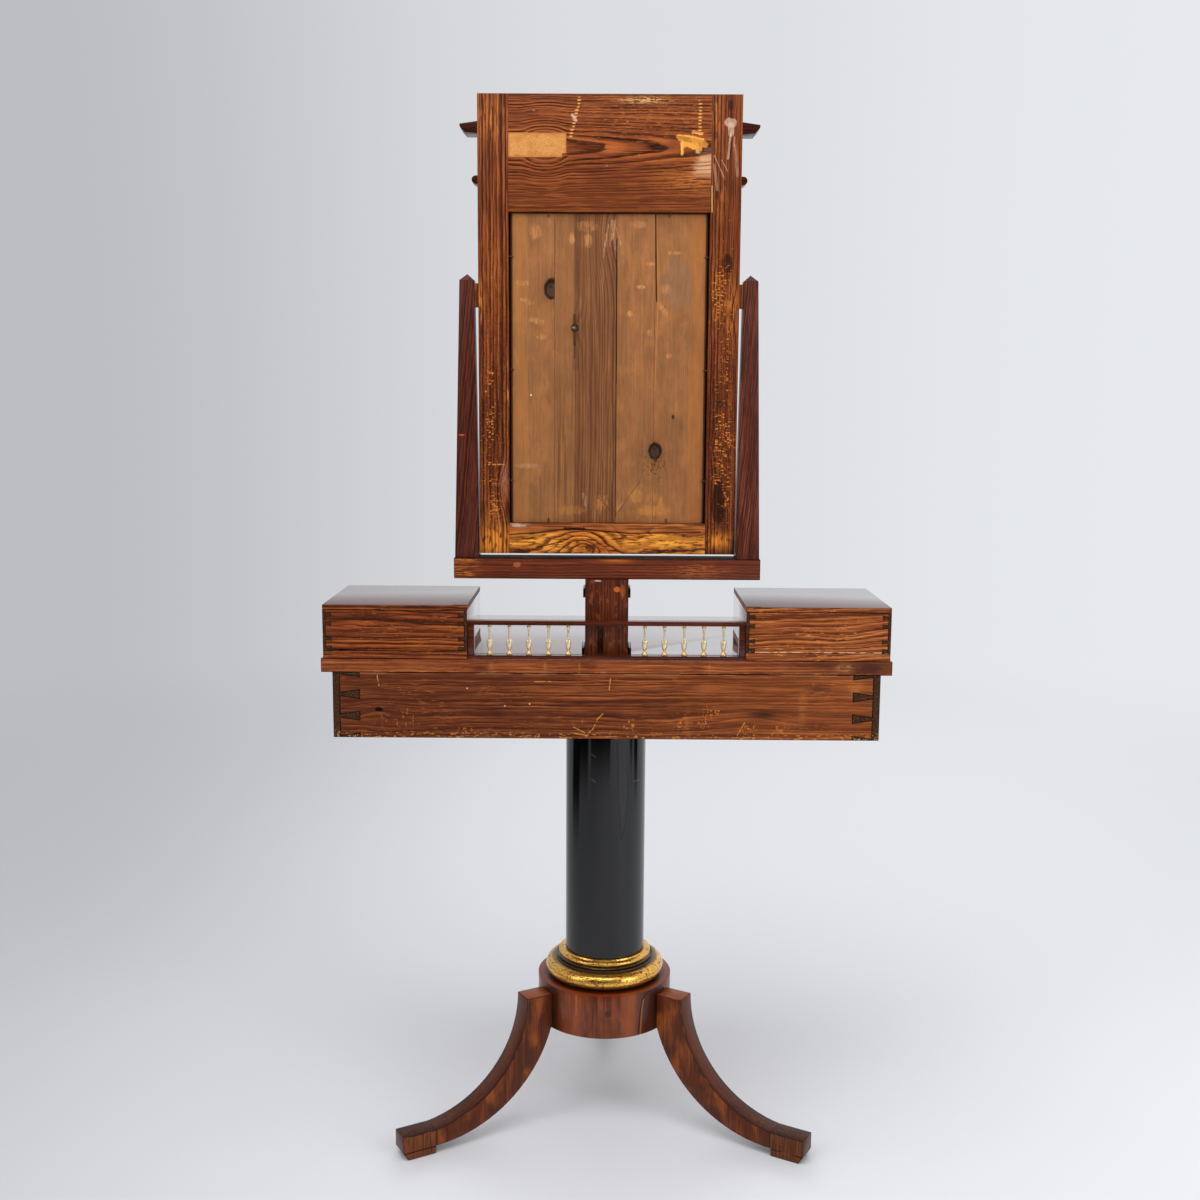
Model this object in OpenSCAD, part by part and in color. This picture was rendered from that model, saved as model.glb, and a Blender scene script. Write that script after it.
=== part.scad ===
// Dressing table on a column and three sabre legs, with a swing mirror between obelisk uprights.
// Millimetres. The user sits at -Y, the back is at +Y, X runs to the user's right.
// The column's axis is the working centre, and place() moves the whole table onto its box centre.

/* [Table] */
// Width of the table top
table_w = 804; // [700:1:900]
// Depth of the table top
table_d = 400; // [360:5:460]
// Height of the table top's surface above the floor
table_h = 765; // [720:5:800]
// Thickness of the table top
top_t = 20; // [14:1:28]

/* [Tripod] */
// Diameter of the drum that the legs are let into
drum_dia = 210; // [190:2:230]
// Height of the drum
drum_h = 68; // [60:1:80]
// Height of the drum's underside above the floor
drum_z = 156; // [140:2:175]
// Distance from the column's axis to the end of a toe
leg_reach = 352; // [320:2:390]
// Thickness of a leg, side to side
leg_w = 34; // [28:1:44]
// Distance from the drum's side to the outer shoulder of a leg
leg_shoulder = 41; // [34:1:50]
// Drop from the drum's top to a leg's flat top
leg_drop = 13; // [6:1:24]
// Length of the flat toe
toe_len = 52; // [40:1:64]
// Height of a toe's upper face above the floor
toe_h = 37; // [30:1:46]
// Thickness of the pad under a toe
pad_h = 12; // [6:1:18]
// How far a pad's outer end slants in towards the floor
pad_slant = 7; // [0:1:10]
// Depth of the sliding dovetail that holds a leg
key_depth = 16; // [10:1:22]
// Width of the dovetail at its neck
key_neck = 12; // [8:1:16]
// Width of the dovetail at its inner end
key_tail = 19; // [15:1:24]

/* [Column] */
// Diameter of the ebonised column
col_dia = 124; // [110:2:140]
// Height of the gilt base ring
gilt_h = 42; // [36:1:50]
// Diameter of the gilt ring's large bead
torus_dia = 186; // [170:2:200]
// Height of the gilt ring's large bead
torus_h = 26; // [22:1:30]
// Diameter of the gilt ring's upper bead
bead_dia = 145; // [138:1:152]
// Height of the gilt ring's upper bead
bead_h = 7; // [5:0.5:9]
// Diameter of the turned tenons at both ends of the column
tenon_dia = 48; // [36:2:60]
// Depth of the column's tenon in the drum
tenon_depth = 45; // [30:1:56]
// Side of the square head plate
head_w = 190; // [150:5:196]
// Thickness of the head plate
head_t = 20; // [14:1:26]
// Diameter of the head plate's screws
screw_dia = 5; // [4:0.5:7]
// How far the head plate's screws reach into the case bottom
screw_bite = 8; // [5:1:10]

/* [Case] */
// Overhang of the table top past the case's sides
case_overhang = 16; // [4:1:30]
// Height of the case
case_h = 94; // [84:2:110]
// Setback of the case's front from the table top's front edge
case_inset = 15; // [5:1:30]
// Thickness of the case's side boards
case_side_t = 38; // [30:1:44]
// Thickness of the case's back board
case_back_t = 20; // [14:1:26]
// Thickness of the case's bottom board
case_bottom_t = 12; // [10:1:16]
// Wood left outside the dovetails at the case's corners
case_lap = 10; // [6:1:14]
// Height of a case dovetail pin at its wide end
case_pin = 13; // [10:0.5:16]
// Depth of the rebates that hold the case's bottom board
bottom_rebate = 8; // [5:1:12]

/* [Large drawer] */
// Thickness of the large drawer's front
front_t = 22; // [16:1:28]
// Wood left outside the dovetails at the large drawer's front
front_lap = 7; // [5:0.5:9]
// Thickness of the large drawer's sides and back
wall_t = 10; // [8:1:13]
// Height of the large drawer's sides
wall_h = 66; // [50:1:76]
// Thickness of the drawer bottoms
panel_t = 6; // [4:0.5:8]
// Depth of the grooves that hold a drawer's bottom
groove = 3; // [2:0.5:4]
// Height of a drawer's bottom above the lower edge of its sides
panel_lift = 5; // [3:0.5:8]
// Depth of the housings that hold a drawer's back
housing = 4; // [2:0.5:5]
// Diameter of the large drawer's knobs
knob_dia = 26; // [20:1:32]
// Distance of a knob from the drawer's middle
knob_x = 210; // [120:5:280]

/* [Boxes] */
// Width of each box on the table top
box_w = 203; // [170:1:230]
// Depth of the boxes
box_d = 204; // [170:2:240]
// Height of the boxes
box_h = 76; // [66:1:90]
// Setback of a box from the table top's end
box_inset = 3.5; // [0:0.5:10]
// Thickness of a box's side and back boards
box_t = 12; // [9:0.5:16]
// Thickness of a box's bottom board
box_bottom_t = 11; // [8:0.5:14]
// Thickness of a box's top board
box_top_t = 7; // [5:0.5:10]
// Wood left outside the dovetails at a box's corners
box_lap = 4; // [2.5:0.5:5]
// Height of a box dovetail pin at its wide end
box_pin = 5.5; // [4:0.5:7]
// Thickness of a small drawer's front
small_front_t = 14; // [10:1:18]
// Wood left outside the dovetails at a small drawer's front
small_front_lap = 4.5; // [3:0.5:6]
// Thickness of a small drawer's sides and back
small_wall_t = 7; // [5:0.5:9]
// Height of a small drawer's sides
small_wall_h = 46; // [34:1:50]
// Diameter of the small drawers' knobs
small_knob_dia = 17; // [12:1:22]

/* [Gallery] */
// Depth of the gallery's rails
rail_d = 15; // [12:0.5:18]
// Setback of the gallery from the table top's back edge
rail_inset = 3; // [1:0.5:6]
// Thickness of the gallery's base rail
base_rail_t = 5; // [4:0.5:7]
// Thickness of the gallery's top rail
top_rail_t = 6; // [5:0.5:9]
// Height of the balusters
baluster_h = 43; // [34:1:52]
// Largest diameter of a baluster
baluster_dia = 8.6; // [7:0.2:10]
// Distance from the centre post's side to the first baluster
baluster_first = 23.5; // [14:0.1:32]
// Distance from the last baluster to the end post's side
baluster_last = 21.7; // [12:0.1:30]
// Number of balusters on each side
baluster_n = 5; // [3:1:5]
// Width of the gallery's end posts
end_post_w = 9; // [6:0.5:12]

/* [Mirror stand] */
// Width of the centre post
post_w = 61; // [50:1:72]
// Depth of the centre post
post_d = 47; // [40:1:50]
// Height of the centre post
post_h = 111; // [90:1:130]
// Gap between the centre post and the gallery
post_gap = 4; // [2:0.5:8]
// Height of the black plinth band round the post
plinth_h = 13; // [8:1:18]
// Thickness of the black plinth band
plinth_t = 4.6; // [3:0.2:6]
// Height of the black neck band round the post
neck_h = 12; // [8:1:16]
// Thickness of the black neck band
neck_t = 3; // [2:0.2:5]
// Distance from the neck band to the crossbar
neck_drop = 14; // [8:1:22]
// Width of the slot in the post's back
slot_w = 7; // [5:0.5:9]
// Depth of the slot in the post's back
slot_d = 10; // [6:1:16]
// Height of the slot in the post's back
slot_h = 46; // [30:1:60]
// Distance of the slot from the post's middle
slot_x = 9; // [4:1:16]
// Length of the crossbar
bar_w = 432; // [420:1:470]
// Height of the crossbar
bar_h = 29; // [24:1:36]
// Depth of the crossbar
bar_d = 45; // [40:1:52]
// Width of an upright at its foot
upright_foot = 33; // [30:0.5:36]
// Width of an upright at its shoulder
upright_head = 20; // [16:0.5:26]
// Depth of an upright at its foot
upright_foot_d = 38; // [30:1:40]
// Depth of an upright at its shoulder
upright_head_d = 23; // [18:1:28]
// Height of an upright to its shoulder
upright_h = 384; // [340:2:420]
// Height of the pyramid on an upright
pyramid_h = 9; // [6:0.5:14]
// Gap between the mirror frame and an upright's foot
foot_gap = 1.5; // [1:0.1:3]
// Gap between the mirror frame and an upright's shoulder
head_gap = 6; // [5:0.1:9]

/* [Mirror] */
// Width of the mirror frame
mirror_w = 360; // [330:2:380]
// Height of the mirror frame
mirror_h = 625; // [590:1:650]
// Thickness of the mirror frame
mirror_t = 26; // [22:1:32]
// Gap between the mirror frame and the crossbar
mirror_gap = 6; // [4:0.5:10]
// Width of a stile, seen from behind
stile_w = 42; // [36:1:50]
// Height of the frame's bottom rail
low_rail_h = 43; // [38:1:56]
// Height of the frame's top rail
high_rail_h = 155; // [130:1:180]
// Width of the lip that holds the glass
lip_w = 8; // [5:0.5:10]
// Thickness of the lip that holds the glass
lip_t = 7; // [5:0.5:9]
// Thickness of the mirror glass
glass_t = 4; // [3:0.5:5]
// Thickness of the back panel
back_t = 9; // [6:0.5:10]
// Distance of the pivots below the uprights' shoulders
pivot_drop = 20; // [14:1:40]
// Diameter of the pivot pins
pivot_dia = 8; // [6:0.5:10]
// Height of the spacer blocks at the pivots
spacer_h = 32; // [24:1:38]
// Depth of the spacer blocks at the pivots
spacer_d = 18; // [14:1:22]
// Height of the cornice
cornice_h = 16; // [12:1:22]
// Projection of the cornice
cornice_p = 24; // [18:1:32]
// Distance from the frame's top to the cornice's top
attic_h = 36; // [26:1:50]
// Height of the half-round moulding
astragal_h = 11; // [9:1:16]
// Projection of the half-round moulding
astragal_p = 8; // [6:0.5:10]
// Distance from the frame's top to the middle of the half-round moulding
astragal_drop = 113; // [90:1:130]
// Width of the paper label
label_w = 79; // [60:1:90]
// Height of the paper label
label_h = 32; // [24:1:40]
// Distance from the frame's top to the label's top
label_drop = 51; // [40:1:70]

/* [Fits] */
// Radial clearance of the pivot pins in their bearings
pivot_fit = 0.05; // [0.02:0.01:0.1]
// Gap beside and above a drawer
slide_gap = 0.8; // [0.5:0.1:1.5]
// Gap between a drawer and the board it runs on
run_gap = 0.3; // [0.2:0.1:0.5]
// Gap round the mirror glass, and above and below the back panel
pane_gap = 0.5; // [0.3:0.1:1]
// Gap at each side of the back panel, which has shrunk across its grain
shrink_gap = 2.5; // [0.5:0.5:4]
// Gap at the mitres of the mirror's mouldings
mitre_gap = 0.1; // [0.05:0.05:0.3]

/* [Hidden] */
$fn = 48;
eps = 0.01;

// Colours of the finishes
mahogany = [0.42, 0.17, 0.09];
stained_pine = [0.45, 0.22, 0.12];
bare_pine = [0.68, 0.47, 0.28];
black = [0.05, 0.05, 0.05];
gold = [0.72, 0.53, 0.22];
brass = [0.8, 0.64, 0.3];
steel = [0.45, 0.44, 0.42];

// Heights and depths that several pieces share
drum_top = drum_z + drum_h;
leg_top = drum_top - leg_drop;
drum_r = drum_dia / 2;
shoulder_r = drum_r + leg_shoulder;
toe_x = leg_reach - toe_len;
key_drop = 6;
key_top = leg_top - key_drop;
col_z0 = drum_top + gilt_h;
case_w = table_w - 2 * case_overhang;
case_z1 = table_h - top_t;
case_z0 = case_z1 - case_h;
head_z0 = case_z0 - head_t;
back_y = table_d / 2;
case_y0 = -table_d / 2 + case_inset;
case_y1 = back_y - case_back_t;
case_in = case_w / 2 - case_side_t;
case_floor = case_z0 + case_bottom_t;
tenon_fit = 0.1;
screw_edge = 22;
screw_off = head_w / 2 - screw_edge;
screw_head = 2 * screw_dia;

// The large drawer, inside the case
dr_w = 2 * (case_in - slide_gap);
dr_z0 = case_floor + run_gap;
dr_front_h = case_h - case_bottom_t - run_gap - slide_gap;
dr_y1 = case_y1 - slide_gap;
dr_side_y0 = case_y0 + front_lap;
knob_z = dr_z0 + dr_front_h / 2;
knob_shank = 6;
shank_share = 0.7;

// The boxes on the table top
box_x1 = table_w / 2 - box_inset;
box_x0 = box_x1 - box_w;
box_y0 = back_y - box_d;
box_floor = table_h + box_bottom_t;
box_ceiling = table_h + box_h - box_top_t;
box_wall_h = box_ceiling - box_floor;
box_mid = (box_x0 + box_x1) / 2;
sd_w = box_w - 2 * box_t - 2 * slide_gap;
sd_z0 = box_floor + run_gap;
sd_front_h = box_wall_h - run_gap - slide_gap;
sd_y1 = back_y - box_t - slide_gap;
sd_side_y0 = box_y0 + small_front_lap;
sd_knob_shank = 5;

// The gallery between the boxes
gal_y1 = back_y - rail_inset;
gal_y0 = gal_y1 - rail_d;
gal_mid = (gal_y0 + gal_y1) / 2;
gal_z1 = table_h + base_rail_t;
gal_z2 = gal_z1 + baluster_h;
baluster_x0 = post_w / 2 + baluster_first;
baluster_x1 = box_x0 - end_post_w - baluster_last;
baluster_pitch = (baluster_x1 - baluster_x0) / (baluster_n - 1);
peg_dia = 2.4;
peg_len = 3;

// The mirror stand
post_y1 = gal_y0 - post_gap;
post_y0 = post_y1 - post_d;
bar_setback = 3;
bar_y1 = post_y1 - bar_setback;
bar_y0 = bar_y1 - bar_d;
stand_y = (bar_y0 + bar_y1) / 2;
bar_z0 = table_h + post_h;
bar_z1 = bar_z0 + bar_h;
post_shoulder = 12;
post_tenon_w = post_w - 2 * post_shoulder;
post_tenon_d = 24;
bar_cover = 10;
bar_tenon_h = bar_h - bar_cover;
up_shoulder = 7;
up_shoulder_d = 9;
bar_floor = 8;
up_tenon_w = upright_foot - 2 * up_shoulder;
up_tenon_d = upright_foot_d - 2 * up_shoulder_d;
up_tenon_h = bar_h - bar_floor;
foot_in = mirror_w / 2 + foot_gap;
foot_out = foot_in + upright_foot;
head_in = mirror_w / 2 + head_gap;
head_out = head_in + upright_head;
up_top = bar_z1 + upright_h;
tip_z = up_top + pyramid_h;
pivot_z = up_top - pivot_drop;
pivot_reach = 12;
pivot_seat = 22;

// The mirror
mir_x = mirror_w / 2;
mir_y0 = stand_y - mirror_t / 2;
mir_y1 = stand_y + mirror_t / 2;
mir_z0 = bar_z1 + mirror_gap;
mir_z1 = mir_z0 + mirror_h;
open_x = mir_x - stile_w;
open_z0 = mir_z0 + low_rail_h;
open_z1 = mir_z1 - high_rail_h;
stile_cover = 12;
frame_tenon_l = stile_w - stile_cover;
frame_tenon_t = mirror_t / 3;
frame_tenon_in = 12;
glass_y0 = mir_y0 + lip_t;
panel_y0 = glass_y0 + glass_t + pane_gap;
panel_y1 = panel_y0 + back_t;
brad_dia = 1.6;
brad_len = 14;
brad_show = 7;
label_t = 0.3;
cornice_z1 = mir_z1 - attic_h;
cornice_z0 = cornice_z1 - cornice_h;
astragal_z = mir_z1 - astragal_drop;

// The table's box runs from the front toe to the back edge
y_shift = (leg_reach - back_y) / 2;

// Moves the column's axis so that the table's box is centred on the origin
module place() {
    translate([0, y_shift, 0]) children();
}

// Points on an arc about c, with angles in degrees
function arc(c, r, a0, a1, n) =
    [for (i = [0:n]) [c[0] + r * cos(a0 + (a1 - a0) * i / n), c[1] + r * sin(a0 + (a1 - a0) * i / n)]];

// A box between two corners
module slab(lo, hi) {
    translate(lo) cube([hi[0] - lo[0], hi[1] - lo[1], hi[2] - lo[2]]);
}

// The same piece on the user's right and left
module both_sides() {
    children();
    mirror([1, 0, 0]) children();
}

// A dovetail pin narrows by one part in this many along its length
pin_slope = 3.2;

// A row of dovetail pins: wide at x = 0, narrow at x = len, t thick along y, inside height h
module pins(h, rows, wide, len, t) {
    narrow = wide - len / pin_slope;
    intersection() {
        cube([len, t, h]);
        for (f = rows) {
            translate([0, t, f * h]) rotate([90, 0, 0]) linear_extrude(t)
                polygon([[0, -wide / 2], [len, -narrow / 2], [len, narrow / 2], [0, wide / 2]]);
        }
    }
}

// The sockets that a tail board's end fits, between the pins
module tails(h, rows, wide, len, t) {
    difference() {
        translate([-eps, 0, -eps]) cube([len + eps, t + eps, h + 2 * eps]);
        pins(h, rows, wide, len, t);
    }
}

// The corner pins of the case, of a box and of the drawers
case_rows = [0, 1 / 3, 2 / 3, 1];
box_rows = [0.06, 0.29, 0.66, 0.88];
drawer_rows = [0, 1 / 3, 2 / 3, 1];
drawer_pin_share = 1 / 6;
case_pin_len = case_side_t - case_lap;
box_pin_len = box_t - box_lap;

module case_pins() {
    translate([case_in, case_y1, case_z0]) pins(case_h, case_rows, case_pin, case_pin_len, case_back_t);
}

module case_tails() {
    translate([case_in, case_y1, case_z0]) tails(case_h, case_rows, case_pin, case_pin_len, case_back_t);
}

// One leg's outline, with x outwards from the column's axis and y up
module leg_outline() {
    dx = toe_x - shoulder_r;
    dz = leg_top - toe_h;
    r_up = (dx * dx + dz * dz) / (2 * dx);
    a_up = atan2(dz, r_up - dx);
    ux = toe_x - drum_r;
    uz = drum_z - pad_h;
    r_un = (ux * ux + uz * uz) / (2 * uz);
    a_un = atan2(r_un - uz, ux);
    polygon(concat(
        [[drum_r - key_depth / 2, drum_z], [drum_r - key_depth / 2, leg_top]],
        arc([shoulder_r + r_up, leg_top], r_up, 180, 180 + a_up, 20),
        [[leg_reach, toe_h], [leg_reach, pad_h]],
        arc([toe_x, pad_h + r_un], r_un, 270, 180 + a_un, 20)
    ));
}

// The sliding dovetail's plan, wider inside the drum
module key_plan(c) {
    x1 = drum_r + 1;
    x0 = drum_r - key_depth;
    polygon([[x0 - c, -key_tail / 2 - c], [x1, -key_neck / 2 - c],
        [x1, key_neck / 2 + c], [x0 - c, key_tail / 2 + c]]);
}

module one_leg(turn) {
    rotate([0, 0, turn]) {
        difference() {
            rotate([90, 0, 0]) translate([0, 0, -leg_w / 2]) linear_extrude(leg_w) leg_outline();
            translate([0, 0, drum_z - 1]) cylinder(h = drum_h + 2, r = drum_r, $fn = 96);
        }
        translate([0, 0, drum_z]) linear_extrude(key_top - drum_z) key_plan(0);
    }
}

leg_turns = [-90, 150, 30];

// A pad's outline from the side, with x outwards from the column's axis and y up
module pad_outline() {
    polygon([[toe_x, 0], [leg_reach - pad_slant, 0], [leg_reach, pad_h], [toe_x, pad_h]]);
}

module foot_pads() {
    color(mahogany) place() {
        for (a = leg_turns) {
            rotate([0, 0, a]) rotate([90, 0, 0]) translate([0, 0, -leg_w / 2])
                linear_extrude(leg_w) pad_outline();
        }
    }
}

module leg_front() {
    color(mahogany) place() one_leg(leg_turns[0]);
}

module leg_back_left() {
    color(mahogany) place() one_leg(leg_turns[1]);
}

module leg_back_right() {
    color(mahogany) place() one_leg(leg_turns[2]);
}

module leg_drum() {
    color(mahogany) place() difference() {
        translate([0, 0, drum_z]) cylinder(h = drum_h, r = drum_r, $fn = 96);
        translate([0, 0, drum_top - tenon_depth - tenon_fit])
            cylinder(h = tenon_depth + 1, r = tenon_dia / 2 + tenon_fit);
        for (a = leg_turns) {
            rotate([0, 0, a]) translate([0, 0, drum_z - 1])
                linear_extrude(key_top + 1 + tenon_fit - drum_z) key_plan(tenon_fit);
        }
    }
}

// Section of the gilt ring, from its bore outwards
module gilt_section() {
    bore = tenon_dia / 2 + tenon_fit;
    torus_r = torus_h / 2;
    core = torus_dia / 2 - torus_r;
    bead_r = bead_h / 2;
    bead_core = bead_dia / 2 - bead_r;
    bead_z = gilt_h - 2.4 - bead_r;
    cove_r = 3.6;
    cove_at = [bead_core + 3.4, torus_h + 5.2];
    difference() {
        union() {
            translate([core, torus_r]) circle(r = torus_r);
            translate([bore, 0]) square([core - bore, torus_h]);
            translate([bore, torus_h - 1]) square([core - bore - 2, 4]);
            translate([bore, torus_h]) square([bead_core - bore, gilt_h - torus_h - 2]);
            translate([bead_core, bead_z]) circle(r = bead_r);
            translate([bore, gilt_h - 3]) square([bead_core - 2 - bore, 3]);
        }
        translate(cove_at) circle(r = cove_r);
    }
}

module gilt_base() {
    color(gold) place() translate([0, 0, drum_top]) rotate_extrude($fn = 96) gilt_section();
}

module column() {
    color(black) place() {
        translate([0, 0, col_z0]) cylinder(h = head_z0 - col_z0, r = col_dia / 2, $fn = 96);
        translate([0, 0, drum_top - tenon_depth])
            cylinder(h = tenon_depth + gilt_h + 1, r = tenon_dia / 2);
        translate([0, 0, head_z0 - 1]) cylinder(h = head_t + 1, r = tenon_dia / 2);
    }
}

// The screws' places under the head plate
module at_screws() {
    for (sx = [-1, 1]) {
        for (sy = [-1, 1]) {
            translate([sx * screw_off, sy * screw_off, 0]) children();
        }
    }
}

module head_screw() {
    translate([0, 0, head_z0]) {
        cylinder(h = screw_dia / 2, r1 = screw_head / 2, r2 = screw_dia / 2);
        cylinder(h = head_t + screw_bite, r = screw_dia / 2);
    }
}

module head_plate() {
    color(stained_pine) place() difference() {
        slab([-head_w / 2, -head_w / 2, head_z0], [head_w / 2, head_w / 2, case_z0]);
        translate([0, 0, head_z0 - 1]) cylinder(h = head_t + 2, r = tenon_dia / 2 + tenon_fit);
        at_screws() head_screw();
    }
}

module head_plate_screws() {
    color(steel) place() at_screws() head_screw();
}

module case_back() {
    x1 = case_w / 2 - case_lap;
    color(stained_pine) place() difference() {
        slab([-x1, case_y1, case_z0], [x1, back_y, case_z1]);
        both_sides() case_pins();
    }
}

module case_side() {
    difference() {
        slab([case_in, case_y0, case_z0], [case_w / 2, back_y, case_z1]);
        case_tails();
        slab([case_in - 1, case_y0 - 1, case_z0 - 1], [case_in + bottom_rebate, case_y1, case_floor]);
    }
}

module case_right_side() {
    color(stained_pine) place() case_side();
}

module case_left_side() {
    color(stained_pine) place() mirror([1, 0, 0]) case_side();
}

module case_bottom() {
    x1 = case_in + bottom_rebate;
    color(stained_pine) place() difference() {
        slab([-x1, case_y0, case_z0], [x1, case_y1, case_floor]);
        at_screws() head_screw();
    }
}

module table_top() {
    color(mahogany) place() difference() {
        slab([-table_w / 2, -table_d / 2, case_z1], [table_w / 2, back_y, table_h]);
        post_tenon(0);
    }
}

// Turns a dovetail row so that it runs forwards from a drawer front's inner face
module forwards(at) {
    translate(at) mirror([0, 1, 0]) rotate([0, 0, 90]) mirror([0, 1, 0]) children();
}

// A drawer's front board, with lapped sockets for the sides and a groove for the bottom
module front_board(w, h, y0, t, lap, z0, side_h, side_t) {
    y1 = y0 + t;
    difference() {
        slab([-w / 2, y0, z0], [w / 2, y1, z0 + h]);
        both_sides() forwards([w / 2 - side_t, y1, z0])
            tails(side_h, drawer_rows, side_h * drawer_pin_share, t - lap, side_t);
        slab([-w / 2 + side_t - groove, y1 - groove, z0 + panel_lift],
            [w / 2 - side_t + groove, y1 + 1, z0 + panel_lift + panel_t]);
    }
}

// The right-hand side of a drawer, tailed into the front and housing the back and the bottom
module side_board(w, h, y0, y1, z0, front_end, side_t) {
    x0 = w / 2 - side_t;
    z1 = z0 + panel_lift;
    difference() {
        slab([x0, y0, z0], [w / 2, y1, z0 + h]);
        forwards([x0, front_end, z0])
            pins(h, drawer_rows, h * drawer_pin_share, front_end - y0, side_t);
        slab([x0 - 1, y1 - side_t, z1], [x0 + housing, y1 + 1, z0 + h + 1]);
        slab([x0 - 1, front_end - groove, z1], [x0 + groove, y1 + 1, z1 + panel_t]);
    }
}

// The back of a drawer, which stands on the bottom panel and is housed in the sides
module back_board(w, h, y1, z0, side_t) {
    x1 = w / 2 - side_t + housing;
    slab([-x1, y1 - side_t, z0 + panel_lift + panel_t], [x1, y1, z0 + h]);
}

// The bottom panel of a drawer, in the grooves of the front and the sides
module bottom_board(w, front_end, y1, z0, side_t) {
    x1 = w / 2 - side_t + groove;
    slab([-x1, front_end - groove, z0 + panel_lift], [x1, y1, z0 + panel_lift + panel_t]);
}

// Section of a turned knob, with y along its axis away from the drawer
module knob_section(d, shank) {
    r = d / 2;
    neck = d * 0.2;
    square([shank / 2, d * 0.3]);
    square([r * 0.62, d * 0.1]);
    square([neck, d * 0.5]);
    intersection() {
        translate([0, d * 0.58]) scale([1, 0.62]) circle(r = r);
        square([r, d]);
    }
}

// A knob with its shank reaching into a drawer front
module knob(d, shank, front, at) {
    translate(at) rotate([90, 0, 0]) rotate_extrude() {
        knob_section(d, shank);
        translate([0, -front * shank_share]) square([shank / 2, front * shank_share + 0.5]);
    }
}

module knob_hole(shank, front, at) {
    translate(at) rotate([-90, 0, 0]) translate([0, 0, -1])
        cylinder(h = front * shank_share + 1, r = shank / 2);
}

module drawer_front() {
    color(mahogany) place() difference() {
        front_board(dr_w, dr_front_h, case_y0, front_t, front_lap, dr_z0, wall_h, wall_t);
        both_sides() knob_hole(knob_shank, front_t, [knob_x, case_y0, knob_z]);
    }
}

module drawer_side() {
    side_board(dr_w, wall_h, dr_side_y0, dr_y1, dr_z0, case_y0 + front_t, wall_t);
}

module drawer_right_side() {
    color(bare_pine) place() drawer_side();
}

module drawer_left_side() {
    color(bare_pine) place() mirror([1, 0, 0]) drawer_side();
}

module drawer_back() {
    color(bare_pine) place() back_board(dr_w, wall_h, dr_y1, dr_z0, wall_t);
}

module drawer_bottom() {
    color(bare_pine) place() bottom_board(dr_w, case_y0 + front_t, dr_y1, dr_z0, wall_t);
}

module drawer_knobs() {
    color(brass) place() both_sides() knob(knob_dia, knob_shank, front_t, [knob_x, case_y0, knob_z]);
}

// The right-hand box; the left-hand one is its mirror image
module box_pins(x) {
    translate([x, back_y - box_t, box_floor]) pins(box_wall_h, box_rows, box_pin, box_pin_len, box_t);
}

module box_side() {
    difference() {
        slab([box_x1 - box_t, box_y0, box_floor], [box_x1, back_y, box_ceiling]);
        translate([box_x1 - box_t, back_y - box_t, box_floor])
            tails(box_wall_h, box_rows, box_pin, box_pin_len, box_t);
    }
}

// The second side of a box is the first one turned about the box's middle
module other_side() {
    translate([2 * box_mid, 0, 0]) mirror([1, 0, 0]) children();
}

module box_sides() {
    box_side();
    other_side() box_side();
}

module box_back() {
    difference() {
        slab([box_x0 + box_lap, back_y - box_t, box_floor], [box_x1 - box_lap, back_y, box_ceiling]);
        box_pins(box_x1 - box_t);
        other_side() box_pins(box_x1 - box_t);
    }
}

module box_bottom() {
    slab([box_x0, box_y0, table_h], [box_x1, back_y, box_floor]);
}

module box_top() {
    slab([box_x0, box_y0, box_ceiling], [box_x1, back_y, table_h + box_h]);
}

module small_drawer_front() {
    at = [box_mid, box_y0, sd_z0 + sd_front_h / 2];
    difference() {
        translate([box_mid, 0, 0]) front_board(sd_w, sd_front_h, box_y0, small_front_t,
            small_front_lap, sd_z0, small_wall_h, small_wall_t);
        knob_hole(sd_knob_shank, small_front_t, at);
    }
}

module small_drawer_sides() {
    translate([box_mid, 0, 0]) both_sides()
        side_board(sd_w, small_wall_h, sd_side_y0, sd_y1, sd_z0, box_y0 + small_front_t, small_wall_t);
}

module small_drawer_back() {
    translate([box_mid, 0, 0]) back_board(sd_w, small_wall_h, sd_y1, sd_z0, small_wall_t);
}

module small_drawer_bottom() {
    translate([box_mid, 0, 0])
        bottom_board(sd_w, box_y0 + small_front_t, sd_y1, sd_z0, small_wall_t);
}

module small_knob() {
    knob(small_knob_dia, sd_knob_shank, small_front_t, [box_mid, box_y0, sd_z0 + sd_front_h / 2]);
}

module right_box_bottom() {
    color(mahogany) place() box_bottom();
}

module right_box_sides() {
    color(mahogany) place() box_sides();
}

module right_box_back() {
    color(stained_pine) place() box_back();
}

module right_box_top() {
    color(mahogany) place() box_top();
}

module right_box_drawer_front() {
    color(mahogany) place() small_drawer_front();
}

module right_box_drawer_sides() {
    color(bare_pine) place() small_drawer_sides();
}

module right_box_drawer_back() {
    color(bare_pine) place() small_drawer_back();
}

module right_box_drawer_bottom() {
    color(bare_pine) place() small_drawer_bottom();
}

module right_box_knob() {
    color(brass) place() small_knob();
}

module left_box_bottom() {
    color(mahogany) place() mirror([1, 0, 0]) box_bottom();
}

module left_box_sides() {
    color(mahogany) place() mirror([1, 0, 0]) box_sides();
}

module left_box_back() {
    color(stained_pine) place() mirror([1, 0, 0]) box_back();
}

module left_box_top() {
    color(mahogany) place() mirror([1, 0, 0]) box_top();
}

module left_box_drawer_front() {
    color(mahogany) place() mirror([1, 0, 0]) small_drawer_front();
}

module left_box_drawer_sides() {
    color(bare_pine) place() mirror([1, 0, 0]) small_drawer_sides();
}

module left_box_drawer_back() {
    color(bare_pine) place() mirror([1, 0, 0]) small_drawer_back();
}

module left_box_drawer_bottom() {
    color(bare_pine) place() mirror([1, 0, 0]) small_drawer_bottom();
}

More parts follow.
